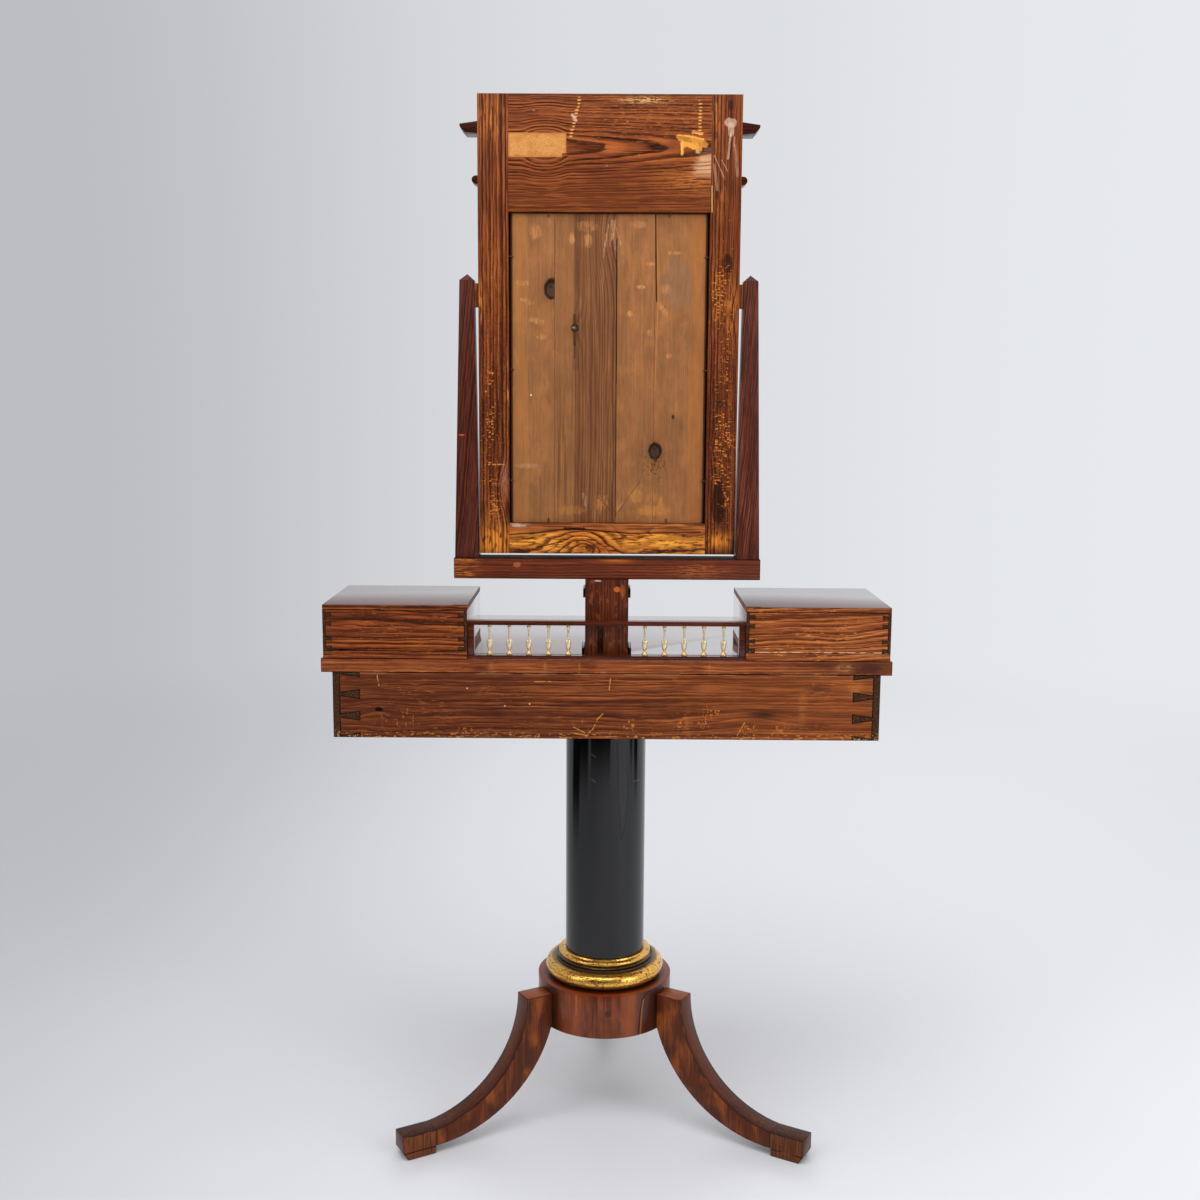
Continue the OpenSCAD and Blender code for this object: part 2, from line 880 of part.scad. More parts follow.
module left_box_knob() {
    color(brass) place() mirror([1, 0, 0]) small_knob();
}

// The balusters' places along the gallery
module at_balusters() {
    both_sides() {
        for (i = [0:baluster_n - 1]) {
            translate([baluster_x0 + i * baluster_pitch, gal_mid, 0]) children();
        }
    }
}

// Half section of a baluster: foot, vase, slim neck, ball and cap, with a peg at each end
module baluster_section() {
    r = baluster_dia / 2;
    h = baluster_h;
    peg = peg_dia / 2;
    polygon([[0, -peg_len], [peg, -peg_len], [peg, 0], [0.9 * r, 0], [0.9 * r, 0.06 * h],
        [0.42 * r, 0.12 * h], [0.45 * r, 0.17 * h], [0.86 * r, 0.31 * h], [r, 0.43 * h],
        [0.92 * r, 0.5 * h], [0.42 * r, 0.54 * h], [0.27 * r, 0.82 * h], [0.46 * r, 0.86 * h],
        [0.3 * r, 0.91 * h], [0.8 * r, 0.95 * h], [0.8 * r, h], [peg, h], [peg, h + peg_len],
        [0, h + peg_len]]);
}

module gallery_balusters() {
    color(brass) place() at_balusters() translate([0, 0, gal_z1])
        rotate_extrude($fn = 24) baluster_section();
}

module gallery_base_rail() {
    color(mahogany) place() difference() {
        slab([-box_x0, gal_y0, table_h], [box_x0, gal_y1, gal_z1]);
        at_balusters() translate([0, 0, gal_z1 - peg_len]) cylinder(h = peg_len + 1, r = peg_dia / 2);
    }
}

module gallery_top_rail() {
    color(mahogany) place() difference() {
        slab([-box_x0, gal_y0, gal_z2], [box_x0, gal_y1, gal_z2 + top_rail_t]);
        at_balusters() translate([0, 0, gal_z2 - 1]) cylinder(h = peg_len + 1, r = peg_dia / 2);
    }
}

module gallery_end_posts() {
    color(mahogany) place() both_sides()
        slab([box_x0 - end_post_w, gal_y0, gal_z1], [box_x0, gal_y1, gal_z2]);
}

// The post's lower tenon goes through the table top, its upper one into the crossbar
module post_tenon(up) {
    y0 = (post_y0 + post_y1) / 2 - post_tenon_d / 2;
    z = up == 0 ? [case_z1, table_h + eps] : [bar_z0 - eps, bar_z0 + bar_tenon_h];
    slab([-post_tenon_w / 2, y0, z[0]], [post_tenon_w / 2, y0 + post_tenon_d, z[1]]);
}

module mirror_post() {
    color(mahogany) place() {
        difference() {
            slab([-post_w / 2, post_y0, table_h], [post_w / 2, post_y1, bar_z0]);
            slab([slot_x - slot_w / 2, post_y1 - slot_d, table_h - 1],
                [slot_x + slot_w / 2, post_y1 + 1, table_h + slot_h]);
        }
        post_tenon(0);
        post_tenon(1);
    }
}

// A band round the post's front and sides
module post_band(t, z0, h) {
    difference() {
        slab([-post_w / 2 - t, post_y0 - t, z0], [post_w / 2 + t, post_y1, z0 + h]);
        slab([-post_w / 2, post_y0, z0 - 1], [post_w / 2, post_y1 + 1, z0 + h + 1]);
    }
}

module post_plinth() {
    color(black) place() post_band(plinth_t, table_h, plinth_h);
}

module post_neck_band() {
    color(black) place() post_band(neck_t, bar_z0 - neck_drop - neck_h, neck_h);
}

// An upright's foot tenon
module upright_tenon() {
    x0 = foot_in + (upright_foot - up_tenon_w) / 2;
    slab([x0, stand_y - up_tenon_d / 2, bar_z1 - up_tenon_h],
        [x0 + up_tenon_w, stand_y + up_tenon_d / 2, bar_z1 + eps]);
}

module crossbar() {
    color(mahogany) place() difference() {
        slab([-bar_w / 2, bar_y0, bar_z0], [bar_w / 2, bar_y1, bar_z1]);
        post_tenon(1);
        both_sides() upright_tenon();
    }
}

// The tapered right-hand upright: its front outline cut by its side outline
module upright_body() {
    mid = (head_in + head_out) / 2;
    intersection() {
        translate([0, stand_y + upright_foot_d / 2 + 1, 0]) rotate([90, 0, 0])
            linear_extrude(upright_foot_d + 2)
                polygon([[foot_in, bar_z1], [foot_out, bar_z1], [head_out, up_top], [mid, tip_z],
                    [head_in, up_top]]);
        translate([foot_in - 1, stand_y, 0]) rotate([90, 0, 90])
            linear_extrude(foot_out - foot_in + 2)
                polygon([[-upright_foot_d / 2, bar_z1], [upright_foot_d / 2, bar_z1],
                    [upright_head_d / 2, up_top], [0, tip_z], [-upright_head_d / 2, up_top]]);
    }
}

// The bearing bore through a spacer and into an upright
module pivot_bore() {
    translate([mir_x, stand_y, pivot_z]) rotate([0, 90, 0])
        cylinder(h = head_gap + pivot_reach + 1, r = pivot_dia / 2 + pivot_fit);
}

module upright() {
    difference() {
        upright_body();
        pivot_bore();
    }
    upright_tenon();
}

module right_upright() {
    color(mahogany) place() upright();
}

module left_upright() {
    color(mahogany) place() mirror([1, 0, 0]) upright();
}

module pivot_spacers() {
    color(bare_pine) place() both_sides() difference() {
        slab([mir_x + run_gap, stand_y - spacer_d / 2, pivot_z - spacer_h / 2],
            [head_in + 1, stand_y + spacer_d / 2, pivot_z + spacer_h / 2]);
        upright_body();
        pivot_bore();
    }
}

// A rail's tenon in the right-hand stile
module frame_tenon(z0, z1) {
    y0 = mir_y0 + lip_t;
    slab([open_x - eps, y0, z0 + frame_tenon_in], [open_x + frame_tenon_l, y0 + frame_tenon_t,
        z1 - frame_tenon_in]);
}

module stile() {
    difference() {
        union() {
            slab([open_x, mir_y0, mir_z0], [mir_x, mir_y1, mir_z1]);
            slab([open_x - lip_w, mir_y0, open_z0 + lip_w], [open_x + 1, glass_y0, open_z1 - lip_w]);
        }
        frame_tenon(mir_z0, open_z0);
        frame_tenon(open_z1, mir_z1);
        translate([mir_x - pivot_seat, stand_y, pivot_z]) rotate([0, 90, 0])
            cylinder(h = pivot_seat + 1, r = pivot_dia / 2);
        side_brads();
    }
}

module mirror_right_stile() {
    color(stained_pine) place() stile();
}

module mirror_left_stile() {
    color(stained_pine) place() mirror([1, 0, 0]) stile();
}

// A rail with its lip between heights z0 and z1, lip0 or lip1 past the wood of the rail
module rail(z0, z1, lip0, lip1) {
    difference() {
        union() {
            slab([-open_x, mir_y0, z0], [open_x, mir_y1, z1]);
            slab([-open_x, mir_y0, z0 - lip0], [open_x, glass_y0, z1 + lip1]);
            both_sides() frame_tenon(z0, z1);
        }
        end_brads();
    }
}

module mirror_top_rail() {
    color(stained_pine) place() rail(open_z1, mir_z1, lip_w, 0);
}

module mirror_bottom_rail() {
    color(stained_pine) place() rail(mir_z0, open_z0, 0, lip_w);
}

module mirror_back_panel() {
    color(bare_pine) place() slab([-open_x + shrink_gap, panel_y0, open_z0 + pane_gap],
        [open_x - shrink_gap, panel_y1, open_z1 - pane_gap]);
}

module mirror_glass() {
    color([0.82, 0.85, 0.87]) place() slab([-open_x + pane_gap, glass_y0, open_z0 + pane_gap],
        [open_x - pane_gap, glass_y0 + glass_t, open_z1 - pane_gap]);
}

// Brads lie on the back panel and are driven into the frame
brad_y = panel_y1 + brad_dia / 2;
brad_heights = [0.14, 0.5, 0.86];
brad_sides = [-0.6, 0.6];

module side_brads() {
    for (f = brad_heights) {
        translate([open_x - brad_show, brad_y, open_z0 + f * (open_z1 - open_z0)])
            rotate([0, 90, 0]) cylinder(h = brad_len, r = brad_dia / 2, $fn = 16);
    }
}

module end_brads() {
    for (f = brad_sides) {
        for (z = [open_z0 - brad_len + brad_show, open_z1 - brad_show]) {
            translate([f * open_x, brad_y, z]) cylinder(h = brad_len, r = brad_dia / 2, $fn = 16);
        }
    }
}

module back_panel_brads() {
    color(steel) place() {
        both_sides() side_brads();
        end_brads();
    }
}

// A moulding's run along the front, mitred at both ends; its section has x outwards and y up
module front_run(p) {
    intersection() {
        translate([-mir_x - p, mir_y0, 0]) rotate([90, 0, 90]) linear_extrude(2 * (mir_x + p))
            mirror([1, 0, 0]) children();
        translate([0, 0, mir_z0]) linear_extrude(mirror_h)
            polygon([[-mir_x, mir_y0], [mir_x, mir_y0], [mir_x + p, mir_y0 - p], [-mir_x - p, mir_y0 - p]]);
    }
}

// The return along the right-hand side, from the mitre to the frame's back
module side_run(p) {
    intersection() {
        translate([mir_x, mir_y1, 0]) rotate([90, 0, 0]) linear_extrude(mirror_t + p) children();
        translate([0, 0, mir_z0]) linear_extrude(mirror_h)
            polygon([[mir_x, mir_y0 + mitre_gap], [mir_x + p, mir_y0 - p + mitre_gap],
                [mir_x + p, mir_y1], [mir_x, mir_y1]]);
    }
}

module moulding(p) {
    front_run(p) children();
    both_sides() side_run(p) children();
}

module cornice_section() {
    h = cornice_h;
    p = cornice_p;
    translate([0, cornice_z0]) polygon([[0, 0], [0.72 * p, 0.1 * h], [0.84 * p, 0.3 * h],
        [0.97 * p, 0.5 * h], [p, 0.6 * h], [p, 0.78 * h], [0, h]]);
}

module mirror_cornice() {
    color(mahogany) place() moulding(cornice_p) cornice_section();
}

module astragal_section() {
    r = astragal_h / 2;
    translate([0, astragal_z]) intersection() {
        translate([astragal_p - r, 0]) circle(r = r);
        translate([0, -r]) square([astragal_p, 2 * r]);
    }
    translate([0, astragal_z - r]) square([astragal_p - r, 2 * r]);
}

module mirror_astragal() {
    color(mahogany) place() moulding(astragal_p) astragal_section();
}

module pivot_pins() {
    color(steel) place() both_sides() translate([mir_x - pivot_seat, stand_y, pivot_z])
        rotate([0, 90, 0]) cylinder(h = pivot_seat + head_gap + pivot_reach - 1, r = pivot_dia / 2);
}

module paper_label() {
    z1 = mir_z1 - label_drop;
    color([0.75, 0.6, 0.38]) place() slab([open_x - label_w, mir_y1, z1 - label_h],
        [open_x, mir_y1 + label_t, z1]);
}

foot_pads();
leg_front();
leg_back_left();
leg_back_right();
leg_drum();
gilt_base();
column();
head_plate();
head_plate_screws();
case_back();
case_left_side();
case_right_side();
case_bottom();
table_top();
drawer_front();
drawer_left_side();
drawer_right_side();
drawer_back();
drawer_bottom();
drawer_knobs();
left_box_bottom();
left_box_sides();
left_box_back();
left_box_top();
right_box_bottom();
right_box_sides();
right_box_back();
right_box_top();
left_box_drawer_front();
left_box_drawer_sides();
left_box_drawer_back();
left_box_drawer_bottom();
left_box_knob();
right_box_drawer_front();
right_box_drawer_sides();
right_box_drawer_back();
right_box_drawer_bottom();
right_box_knob();
gallery_base_rail();
gallery_top_rail();
gallery_end_posts();
gallery_balusters();
mirror_post();
post_plinth();
post_neck_band();
crossbar();
left_upright();
right_upright();
pivot_spacers();
mirror_left_stile();
mirror_right_stile();
mirror_top_rail();
mirror_bottom_rail();
mirror_back_panel();
mirror_glass();
mirror_cornice();
mirror_astragal();
pivot_pins();
back_panel_brads();
paper_label();
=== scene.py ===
import math

import bpy
from mathutils import Matrix, Vector


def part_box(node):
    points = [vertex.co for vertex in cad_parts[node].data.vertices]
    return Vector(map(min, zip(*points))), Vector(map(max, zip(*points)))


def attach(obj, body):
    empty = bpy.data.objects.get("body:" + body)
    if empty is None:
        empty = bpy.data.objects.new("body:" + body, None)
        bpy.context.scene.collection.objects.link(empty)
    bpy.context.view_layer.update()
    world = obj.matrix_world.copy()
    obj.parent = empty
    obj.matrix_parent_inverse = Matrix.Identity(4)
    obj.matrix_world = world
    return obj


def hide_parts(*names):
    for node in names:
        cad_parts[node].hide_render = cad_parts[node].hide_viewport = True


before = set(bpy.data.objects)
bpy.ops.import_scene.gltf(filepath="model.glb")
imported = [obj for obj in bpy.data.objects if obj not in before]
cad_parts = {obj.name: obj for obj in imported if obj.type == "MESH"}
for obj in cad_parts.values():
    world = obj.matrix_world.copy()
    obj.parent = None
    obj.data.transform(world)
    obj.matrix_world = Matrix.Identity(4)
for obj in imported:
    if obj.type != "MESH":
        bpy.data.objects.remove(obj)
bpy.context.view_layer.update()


# Camera
# It stands behind the table at chest height, where the photograph was taken, and looks slightly down.
image_side = 1200
focal_length = 1412
sensor_side = 36
camera_place = (-0.0004, 2.2272, 1.1336)
camera_pitch = math.radians(8.27)
camera_turn = math.radians(180.29)
camera_roll = math.radians(0.33)

bpy.ops.object.camera_add()
camera = bpy.context.object
camera.data.sensor_fit = "HORIZONTAL"
camera.data.sensor_width = sensor_side
camera.data.lens = focal_length / image_side * sensor_side
turned_round = Matrix.Rotation(camera_turn, 4, "Z")
tipped = Matrix.Rotation(math.pi / 2 - camera_pitch, 4, "X")
camera.matrix_world = (
    Matrix.Translation(camera_place) @ turned_round @ tipped @ Matrix.Rotation(camera_roll, 4, "Z")
)
bpy.context.scene.camera = camera
bpy.context.scene.view_settings.view_transform = "Standard"


# Studio
# A pale floor that runs out into an even pale surround, under four wide soft boxes.
# The surround, and the floor's own colour, are painted a little darker on one side and lighter on the other:
# painted shade and light. Polished surfaces show the surround, and show the room behind the camera as dark:
# a painted reflection, which only glossy rays see.
def tone(red, green, blue):
    """A colour as a screen shows it, 0 to 255, as Blender's own values."""
    values = []
    for value in (red, green, blue):
        value = value / 255
        values.append(value / 12.92 if value <= 0.04045 else ((value + 0.055) / 1.055) ** 2.4)
    return (*values, 1)


dim_side = tone(188, 190, 193)
middle_side = tone(219, 221, 225)
bright_side = tone(231, 233, 237)
side_reach = 0.36
floor_dim = tone(196, 198, 203)
floor_middle = tone(229, 231, 236)
floor_bright = tone(240, 242, 246)
floor_reach = 1.3
floor_roughness = 0.55
floor_shine = 0.2
surround_light = 0.5
room_tone = tone(12, 12, 14)
room_share = 0.95
room_soft = 0.4
# How far a direction points to the back where the surround's dark room begins and where it is full
room_begins = 0.05
room_full = 0.7
room_turn = math.radians(180)
# How far out the pale floor reaches before the dark room, by the way round in degrees: from, to, metres
room_edges = [(-180, -112, 60.0), (-107.5, -107, 20.0), (-102, -87, 2.0), (-85, -82.5, 3.6),
              (-80.5, -72, 2.3), (-69, -15, 3.0), (-11, 41, 2.3), (44, 47.5, 3.6), (50.5, 76, 2.1),
              (81, 106, 1.6), (112, 112.5, 20.0), (117, 180, 60.0)]
floor_side = 80
floor_near = 1.0
floor_far = 4.2
# Each soft box: its place, what it faces, its width and height, its power, and whether it shows in gloss
soft_boxes = [
    ((0.3, 1.2, 3.3), (0, 0, 0.5), 2.6, 2.6, 46, True),
    ((-2.6, 2.3, 1.9), (0, 0, 0.8), 1.5, 2.4, 34, True),
    ((2.7, 1.9, 2.1), (0, 0, 0.8), 1.3, 2.2, 20, True),
    ((0.0, -3.2, 2.4), (0, 0, 0.9), 3.0, 1.6, 34, False),
]


def across_ramp(tree, value, reach, colours):
    """Three colours from one side to the other, as value goes from -reach to reach."""
    across = tree.nodes.new("ShaderNodeMapRange")
    across.inputs["From Min"].default_value = -reach
    across.inputs["From Max"].default_value = reach
    tree.links.new(value, across.inputs["Value"])
    ramp = tree.nodes.new("ShaderNodeValToRGB")
    ramp.color_ramp.interpolation = "EASE"
    ramp.color_ramp.elements[0].color = colours[0]
    ramp.color_ramp.elements[1].color = colours[2]
    ramp.color_ramp.elements.new(0.5).color = colours[1]
    tree.links.new(across.outputs["Result"], ramp.inputs[0])
    return ramp.outputs["Color"]


def surround(tree, direction):
    """The surround's colour in a direction, and how far that direction points to the back, 0 to 1."""
    unit = tree.nodes.new("ShaderNodeVectorMath")
    unit.operation = "NORMALIZE"
    tree.links.new(direction, unit.inputs[0])
    split = tree.nodes.new("ShaderNodeSeparateXYZ")
    tree.links.new(unit.outputs[0], split.inputs[0])
    back = tree.nodes.new("ShaderNodeMapRange")
    back.inputs["From Min"].default_value = room_begins
    back.inputs["From Max"].default_value = room_full
    tree.links.new(split.outputs["Y"], back.inputs["Value"])
    colour = across_ramp(tree, split.outputs["X"], side_reach, (bright_side, middle_side, dim_side))
    return colour, back.outputs["Result"]


def product(tree, first, second):
    """Two values multiplied."""
    node = tree.nodes.new("ShaderNodeMath")
    node.operation = "MULTIPLY"
    for value, socket in zip((first, second), node.inputs):
        if isinstance(value, bpy.types.NodeSocket):
            tree.links.new(value, socket)
        else:
            socket.default_value = value
    return node.outputs[0]


def blended(tree, share, first, second):
    """Two shaders mixed: share of the second."""
    node = tree.nodes.new("ShaderNodeMixShader")
    tree.links.new(share, node.inputs[0])
    tree.links.new(first, node.inputs[1])
    tree.links.new(second, node.inputs[2])
    return node.outputs[0]


bpy.ops.object.select_all(action="DESELECT")
bpy.ops.mesh.primitive_plane_add(size=floor_side)
floor = bpy.context.object
floor.name = "studio_floor"
floor_finish = bpy.data.materials.new("studio_floor")
floor_finish.use_nodes = True
tree = floor_finish.node_tree
floor_shader = tree.nodes["Principled BSDF"]
floor_shader.inputs["Roughness"].default_value = floor_roughness
floor_shader.inputs["Specular IOR Level"].default_value = floor_shine
place = tree.nodes.new("ShaderNodeTexCoord")
split = tree.nodes.new("ShaderNodeSeparateXYZ")
tree.links.new(place.outputs["Object"], split.inputs[0])
# The floor's colour is painted lighter on one side and darker on the other: painted light and shade.
floor_colours = (floor_bright, floor_middle, floor_dim)
tree.links.new(across_ramp(tree, split.outputs["X"], floor_reach, floor_colours),
               floor_shader.inputs["Base Color"])
reach = tree.nodes.new("ShaderNodeVectorMath")
reach.operation = "LENGTH"
tree.links.new(place.outputs["Object"], reach.inputs[0])
away = tree.nodes.new("ShaderNodeMapRange")
away.interpolation_type = "SMOOTHSTEP"
away.inputs["From Min"].default_value = floor_near
away.inputs["From Max"].default_value = floor_far
tree.links.new(reach.outputs["Value"], away.inputs["Value"])
from_eye = tree.nodes.new("ShaderNodeVectorMath")
from_eye.operation = "SUBTRACT"
from_eye.inputs[1].default_value = camera_place
tree.links.new(place.outputs["Object"], from_eye.inputs[0])
rays = tree.nodes.new("ShaderNodeLightPath")
seen = tree.nodes.new("ShaderNodeMath")
seen.operation = "MAXIMUM"
tree.links.new(rays.outputs["Is Camera Ray"], seen.inputs[0])
tree.links.new(rays.outputs["Is Glossy Ray"], seen.inputs[1])
glow = tree.nodes.new("ShaderNodeEmission")
tree.links.new(surround(tree, from_eye.outputs[0])[0], glow.inputs["Color"])
faded = blended(tree, product(tree, seen.outputs[0], away.outputs["Result"]), floor_shader.outputs[0],
                glow.outputs[0])
# Beyond the floor's edge, glossy rays see the dark room: a painted reflection.
room = tree.nodes.new("ShaderNodeEmission")
room.inputs["Color"].default_value = room_tone
turn = tree.nodes.new("ShaderNodeMath")
turn.operation = "ARCTAN2"
tree.links.new(split.outputs["X"], turn.inputs[0])
tree.links.new(split.outputs["Y"], turn.inputs[1])
turned_share = tree.nodes.new("ShaderNodeMapRange")
turned_share.inputs["From Min"].default_value = -room_turn
turned_share.inputs["From Max"].default_value = room_turn
tree.links.new(turn.outputs[0], turned_share.inputs["Value"])
edge_ramp = tree.nodes.new("ShaderNodeValToRGB")
edge_stops = edge_ramp.color_ramp.elements
farthest = 60.0
for first, last, edge in room_edges:
    for angle in (first, last):
        at = (math.radians(angle) + room_turn) / (2 * room_turn)
        if at <= 0:
            stop = edge_stops[0]
        elif at >= 1:
            stop = edge_stops[-1]
        else:
            stop = edge_stops.new(at)
        stop.color = (edge / farthest, edge / farthest, edge / farthest, 1)
tree.links.new(turned_share.outputs["Result"], edge_ramp.inputs[0])
beyond = tree.nodes.new("ShaderNodeMath")
beyond.operation = "MULTIPLY_ADD"
beyond.inputs[1].default_value = -farthest
tree.links.new(edge_ramp.outputs["Color"], beyond.inputs[0])
tree.links.new(reach.outputs["Value"], beyond.inputs[2])
room_reach = tree.nodes.new("ShaderNodeMapRange")
room_reach.interpolation_type = "SMOOTHSTEP"
room_reach.inputs["From Min"].default_value = -room_soft
room_reach.inputs["From Max"].default_value = room_soft
tree.links.new(beyond.outputs[0], room_reach.inputs["Value"])
in_gloss = product(tree, product(tree, room_reach.outputs["Result"], rays.outputs["Is Glossy Ray"]),
                   room_share)
tree.links.new(blended(tree, in_gloss, faded, room.outputs[0]),
               tree.nodes["Material Output"].inputs["Surface"])
floor.data.materials.append(floor_finish)

world = bpy.data.worlds.new("studio")
bpy.context.scene.world = world
world.use_nodes = True
tree = world.node_tree
lit = tree.nodes["Background"]
lit.inputs["Color"].default_value = (1, 1, 1, 1)
lit.inputs["Strength"].default_value = surround_light
place = tree.nodes.new("ShaderNodeTexCoord")
shown = tree.nodes.new("ShaderNodeBackground")
shown_colour, shown_back = surround(tree, place.outputs["Generated"])
tree.links.new(shown_colour, shown.inputs["Color"])
# Towards the back, glossy rays see the dark room: a painted reflection.
room = tree.nodes.new("ShaderNodeBackground")
room.inputs["Color"].default_value = room_tone
rays = tree.nodes.new("ShaderNodeLightPath")
plain_sight = tree.nodes.new("ShaderNodeMath")
plain_sight.operation = "MAXIMUM"
any_sight = tree.nodes.new("ShaderNodeMath")
any_sight.operation = "MAXIMUM"
tree.links.new(rays.outputs["Is Camera Ray"], plain_sight.inputs[0])
tree.links.new(rays.outputs["Is Glossy Ray"], plain_sight.inputs[1])
tree.links.new(plain_sight.outputs[0], any_sight.inputs[0])
tree.links.new(rays.outputs["Is Transmission Ray"], any_sight.inputs[1])
backdrop = blended(tree, any_sight.outputs[0], lit.outputs[0], shown.outputs[0])
in_gloss = product(tree, product(tree, shown_back, rays.outputs["Is Glossy Ray"]), room_share)
tree.links.new(blended(tree, in_gloss, backdrop, room.outputs[0]),
               tree.nodes["World Output"].inputs["Surface"])

for spot, facing, width, height, power, glossy_too in soft_boxes:
    bpy.ops.object.light_add(type="AREA", location=spot)
    lamp = bpy.context.object
    lamp.data.shape = "RECTANGLE"
    lamp.data.size = width
    lamp.data.size_y = height
    lamp.data.energy = power
    lamp.visible_glossy = glossy_too
    lamp.rotation_euler = (Vector(facing) - Vector(spot)).to_track_quat("-Z", "Y").to_euler()


# Foot pads and legs
# Three sabre legs in solid wood under upright veneer, each with a thin block glued below its toe.
# They hang in the drum on dovetails that are pushed up from below.
class Finish:
    """A finish as it is mixed: its nodes, the ways along, across and through the wood, its colour so far."""

    def __init__(self, name, colour, ways="XZY"):
        self.material = bpy.data.materials.new(name)
        self.material.use_nodes = True
        self.tree = self.material.node_tree
        self.shader = self.tree.nodes["Principled BSDF"]
        self.colour = colour
        place = self.add("TexCoord")
        split = self.add("SeparateXYZ")
        self.join(place.outputs["Object"], split.inputs[0])
        faces = self.add("SeparateXYZ")
        self.join(place.outputs["Normal"], faces.inputs[0])
        self.point = dict(zip("XYZ", split.outputs))
        self.facing = dict(zip("XYZ", faces.outputs))
        self.ways = [self.point[way] for way in ways]
        self.end_way = ways[0]

    def add(self, kind):
        """One more node of the kind that is named."""
        return self.tree.nodes.new("ShaderNode" + kind)

    def join(self, source, socket):
        """Links a socket, or sets a plain value."""
        if isinstance(source, bpy.types.NodeSocket):
            self.tree.links.new(source, socket)
        else:
            socket.default_value = source

    def sum(self, how, *values, clamp=False):
        """One Math node."""
        node = self.add("Math")
        node.operation = how
        node.use_clamp = clamp
        for value, socket in zip(values, node.inputs):
            self.join(value, socket)
        return node.outputs[0]

    def times(self, *masks):
        """Masks and shares multiplied together."""
        whole = masks[0]
        for mask in masks[1:]:
            whole = self.sum("MULTIPLY", whole, mask)
        return whole

    def fade(self, value, start, end):
        """A smooth step from 0 at start to 1 at end."""
        node = self.add("MapRange")
        node.interpolation_type = "SMOOTHSTEP"
        self.join(value, node.inputs["Value"])
        node.inputs["From Min"].default_value = start
        node.inputs["From Max"].default_value = end
        return node.outputs["Result"]

    def band(self, value, low, high, soft):
        """1 between low and high, with soft ends."""
        rise = self.fade(value, low - soft, low + soft)
        fall = self.fade(value, high - soft, high + soft)
        return self.sum("SUBTRACT", rise, fall)

    def cloud(self, sizes, detail=2.0, seed=0.0):
        """Noise from 0 to 1 whose patches measure sizes along, across and through the wood, in metres."""
        stretched = [self.sum("MULTIPLY_ADD", way, 1 / size, seed) for way, size in zip(self.ways, sizes)]
        spread = self.add("CombineXYZ")
        for value, socket in zip(stretched, spread.inputs):
            self.join(value, socket)
        noise = self.add("TexNoise")
        noise.inputs["Scale"].default_value = 1
        noise.inputs["Detail"].default_value = detail
        self.join(spread.outputs[0], noise.inputs["Vector"])
        return noise.outputs[0]

    def off(self, at, size):
        """How far off a place the wood is, squared, where 1 is a size away."""
        du = self.sum("MULTIPLY_ADD", self.ways[0], 1 / size[0], -at[0] / size[0])
        dv = self.sum("MULTIPLY_ADD", self.ways[1], 1 / size[1], -at[1] / size[1])
        return self.sum("MULTIPLY_ADD", dv, dv, self.sum("MULTIPLY", du, du))

    def spot(self, at, size, ragged=0.0, seed=0.0):
        """1 at a place along and across the wood, fading to 0 a size away; ragged gives it a torn edge."""
        far = self.off(at, size)
        if ragged:
            rough = self.cloud((size[0] / 2, size[1] / 2, 0.02), 4, seed)
            far = self.sum("MULTIPLY_ADD", self.sum("SUBTRACT", rough, 0.5), ragged * 4, far)
            return self.fade(far, 1.0, 0.5)
        return self.sum("EXPONENT", self.sum("MULTIPLY", far, -1))

    def streak(self, places, width, ragged=0.0, seed=0.0):
        """1 along a bent line through places along and across the wood; ragged gives it a torn edge."""
        nearest = 1.0
        for (a0, b0), (a1, b1) in zip(places, places[1:]):
            da, db = a1 - a0, b1 - b0
            long = da * da + db * db
            pa = self.sum("SUBTRACT", self.ways[0], a0)
            pb = self.sum("SUBTRACT", self.ways[1], b0)
            part = self.sum("MULTIPLY_ADD", pa, da / long, self.sum("MULTIPLY", pb, db / long), clamp=True)
            ea = self.sum("MULTIPLY_ADD", part, -da, pa)
            eb = self.sum("MULTIPLY_ADD", part, -db, pb)
            far = self.sum("ADD", self.times(ea, ea), self.times(eb, eb))
            nearest = self.sum("MINIMUM", nearest, far)
        far = self.sum("SQRT", nearest)
        if ragged:
            rough = self.cloud((width, width, 0.02), 4, seed)
            far = self.sum("MULTIPLY_ADD", self.sum("SUBTRACT", rough, 0.5), ragged * width * 4, far)
            return self.fade(far, width, width * 0.75)
        return self.fade(far, width, width * 0.35)

    def patches(self, start, end, *grain):
        """Noise drawn into patches, 0 to 1, whose edge lies from start to end; grain is what cloud takes."""
        return self.fade(self.cloud(*grain), start, end)

    def mark(self, colour, *masks):
        """Paints a colour where all the masks are."""
        self.paint(self.times(*masks), colour)

    def paint(self, mask, colour, how="MIX"):
        """Lays a colour over what is there, as far as the mask is 1."""
        mix = self.add("Mix")
        mix.data_type = "RGBA"
        mix.blend_type = how
        self.join(mask, mix.inputs[0])
        self.join(self.colour, mix.inputs[6])
        self.join(colour, mix.inputs[7])
        self.colour = mix.outputs[2]

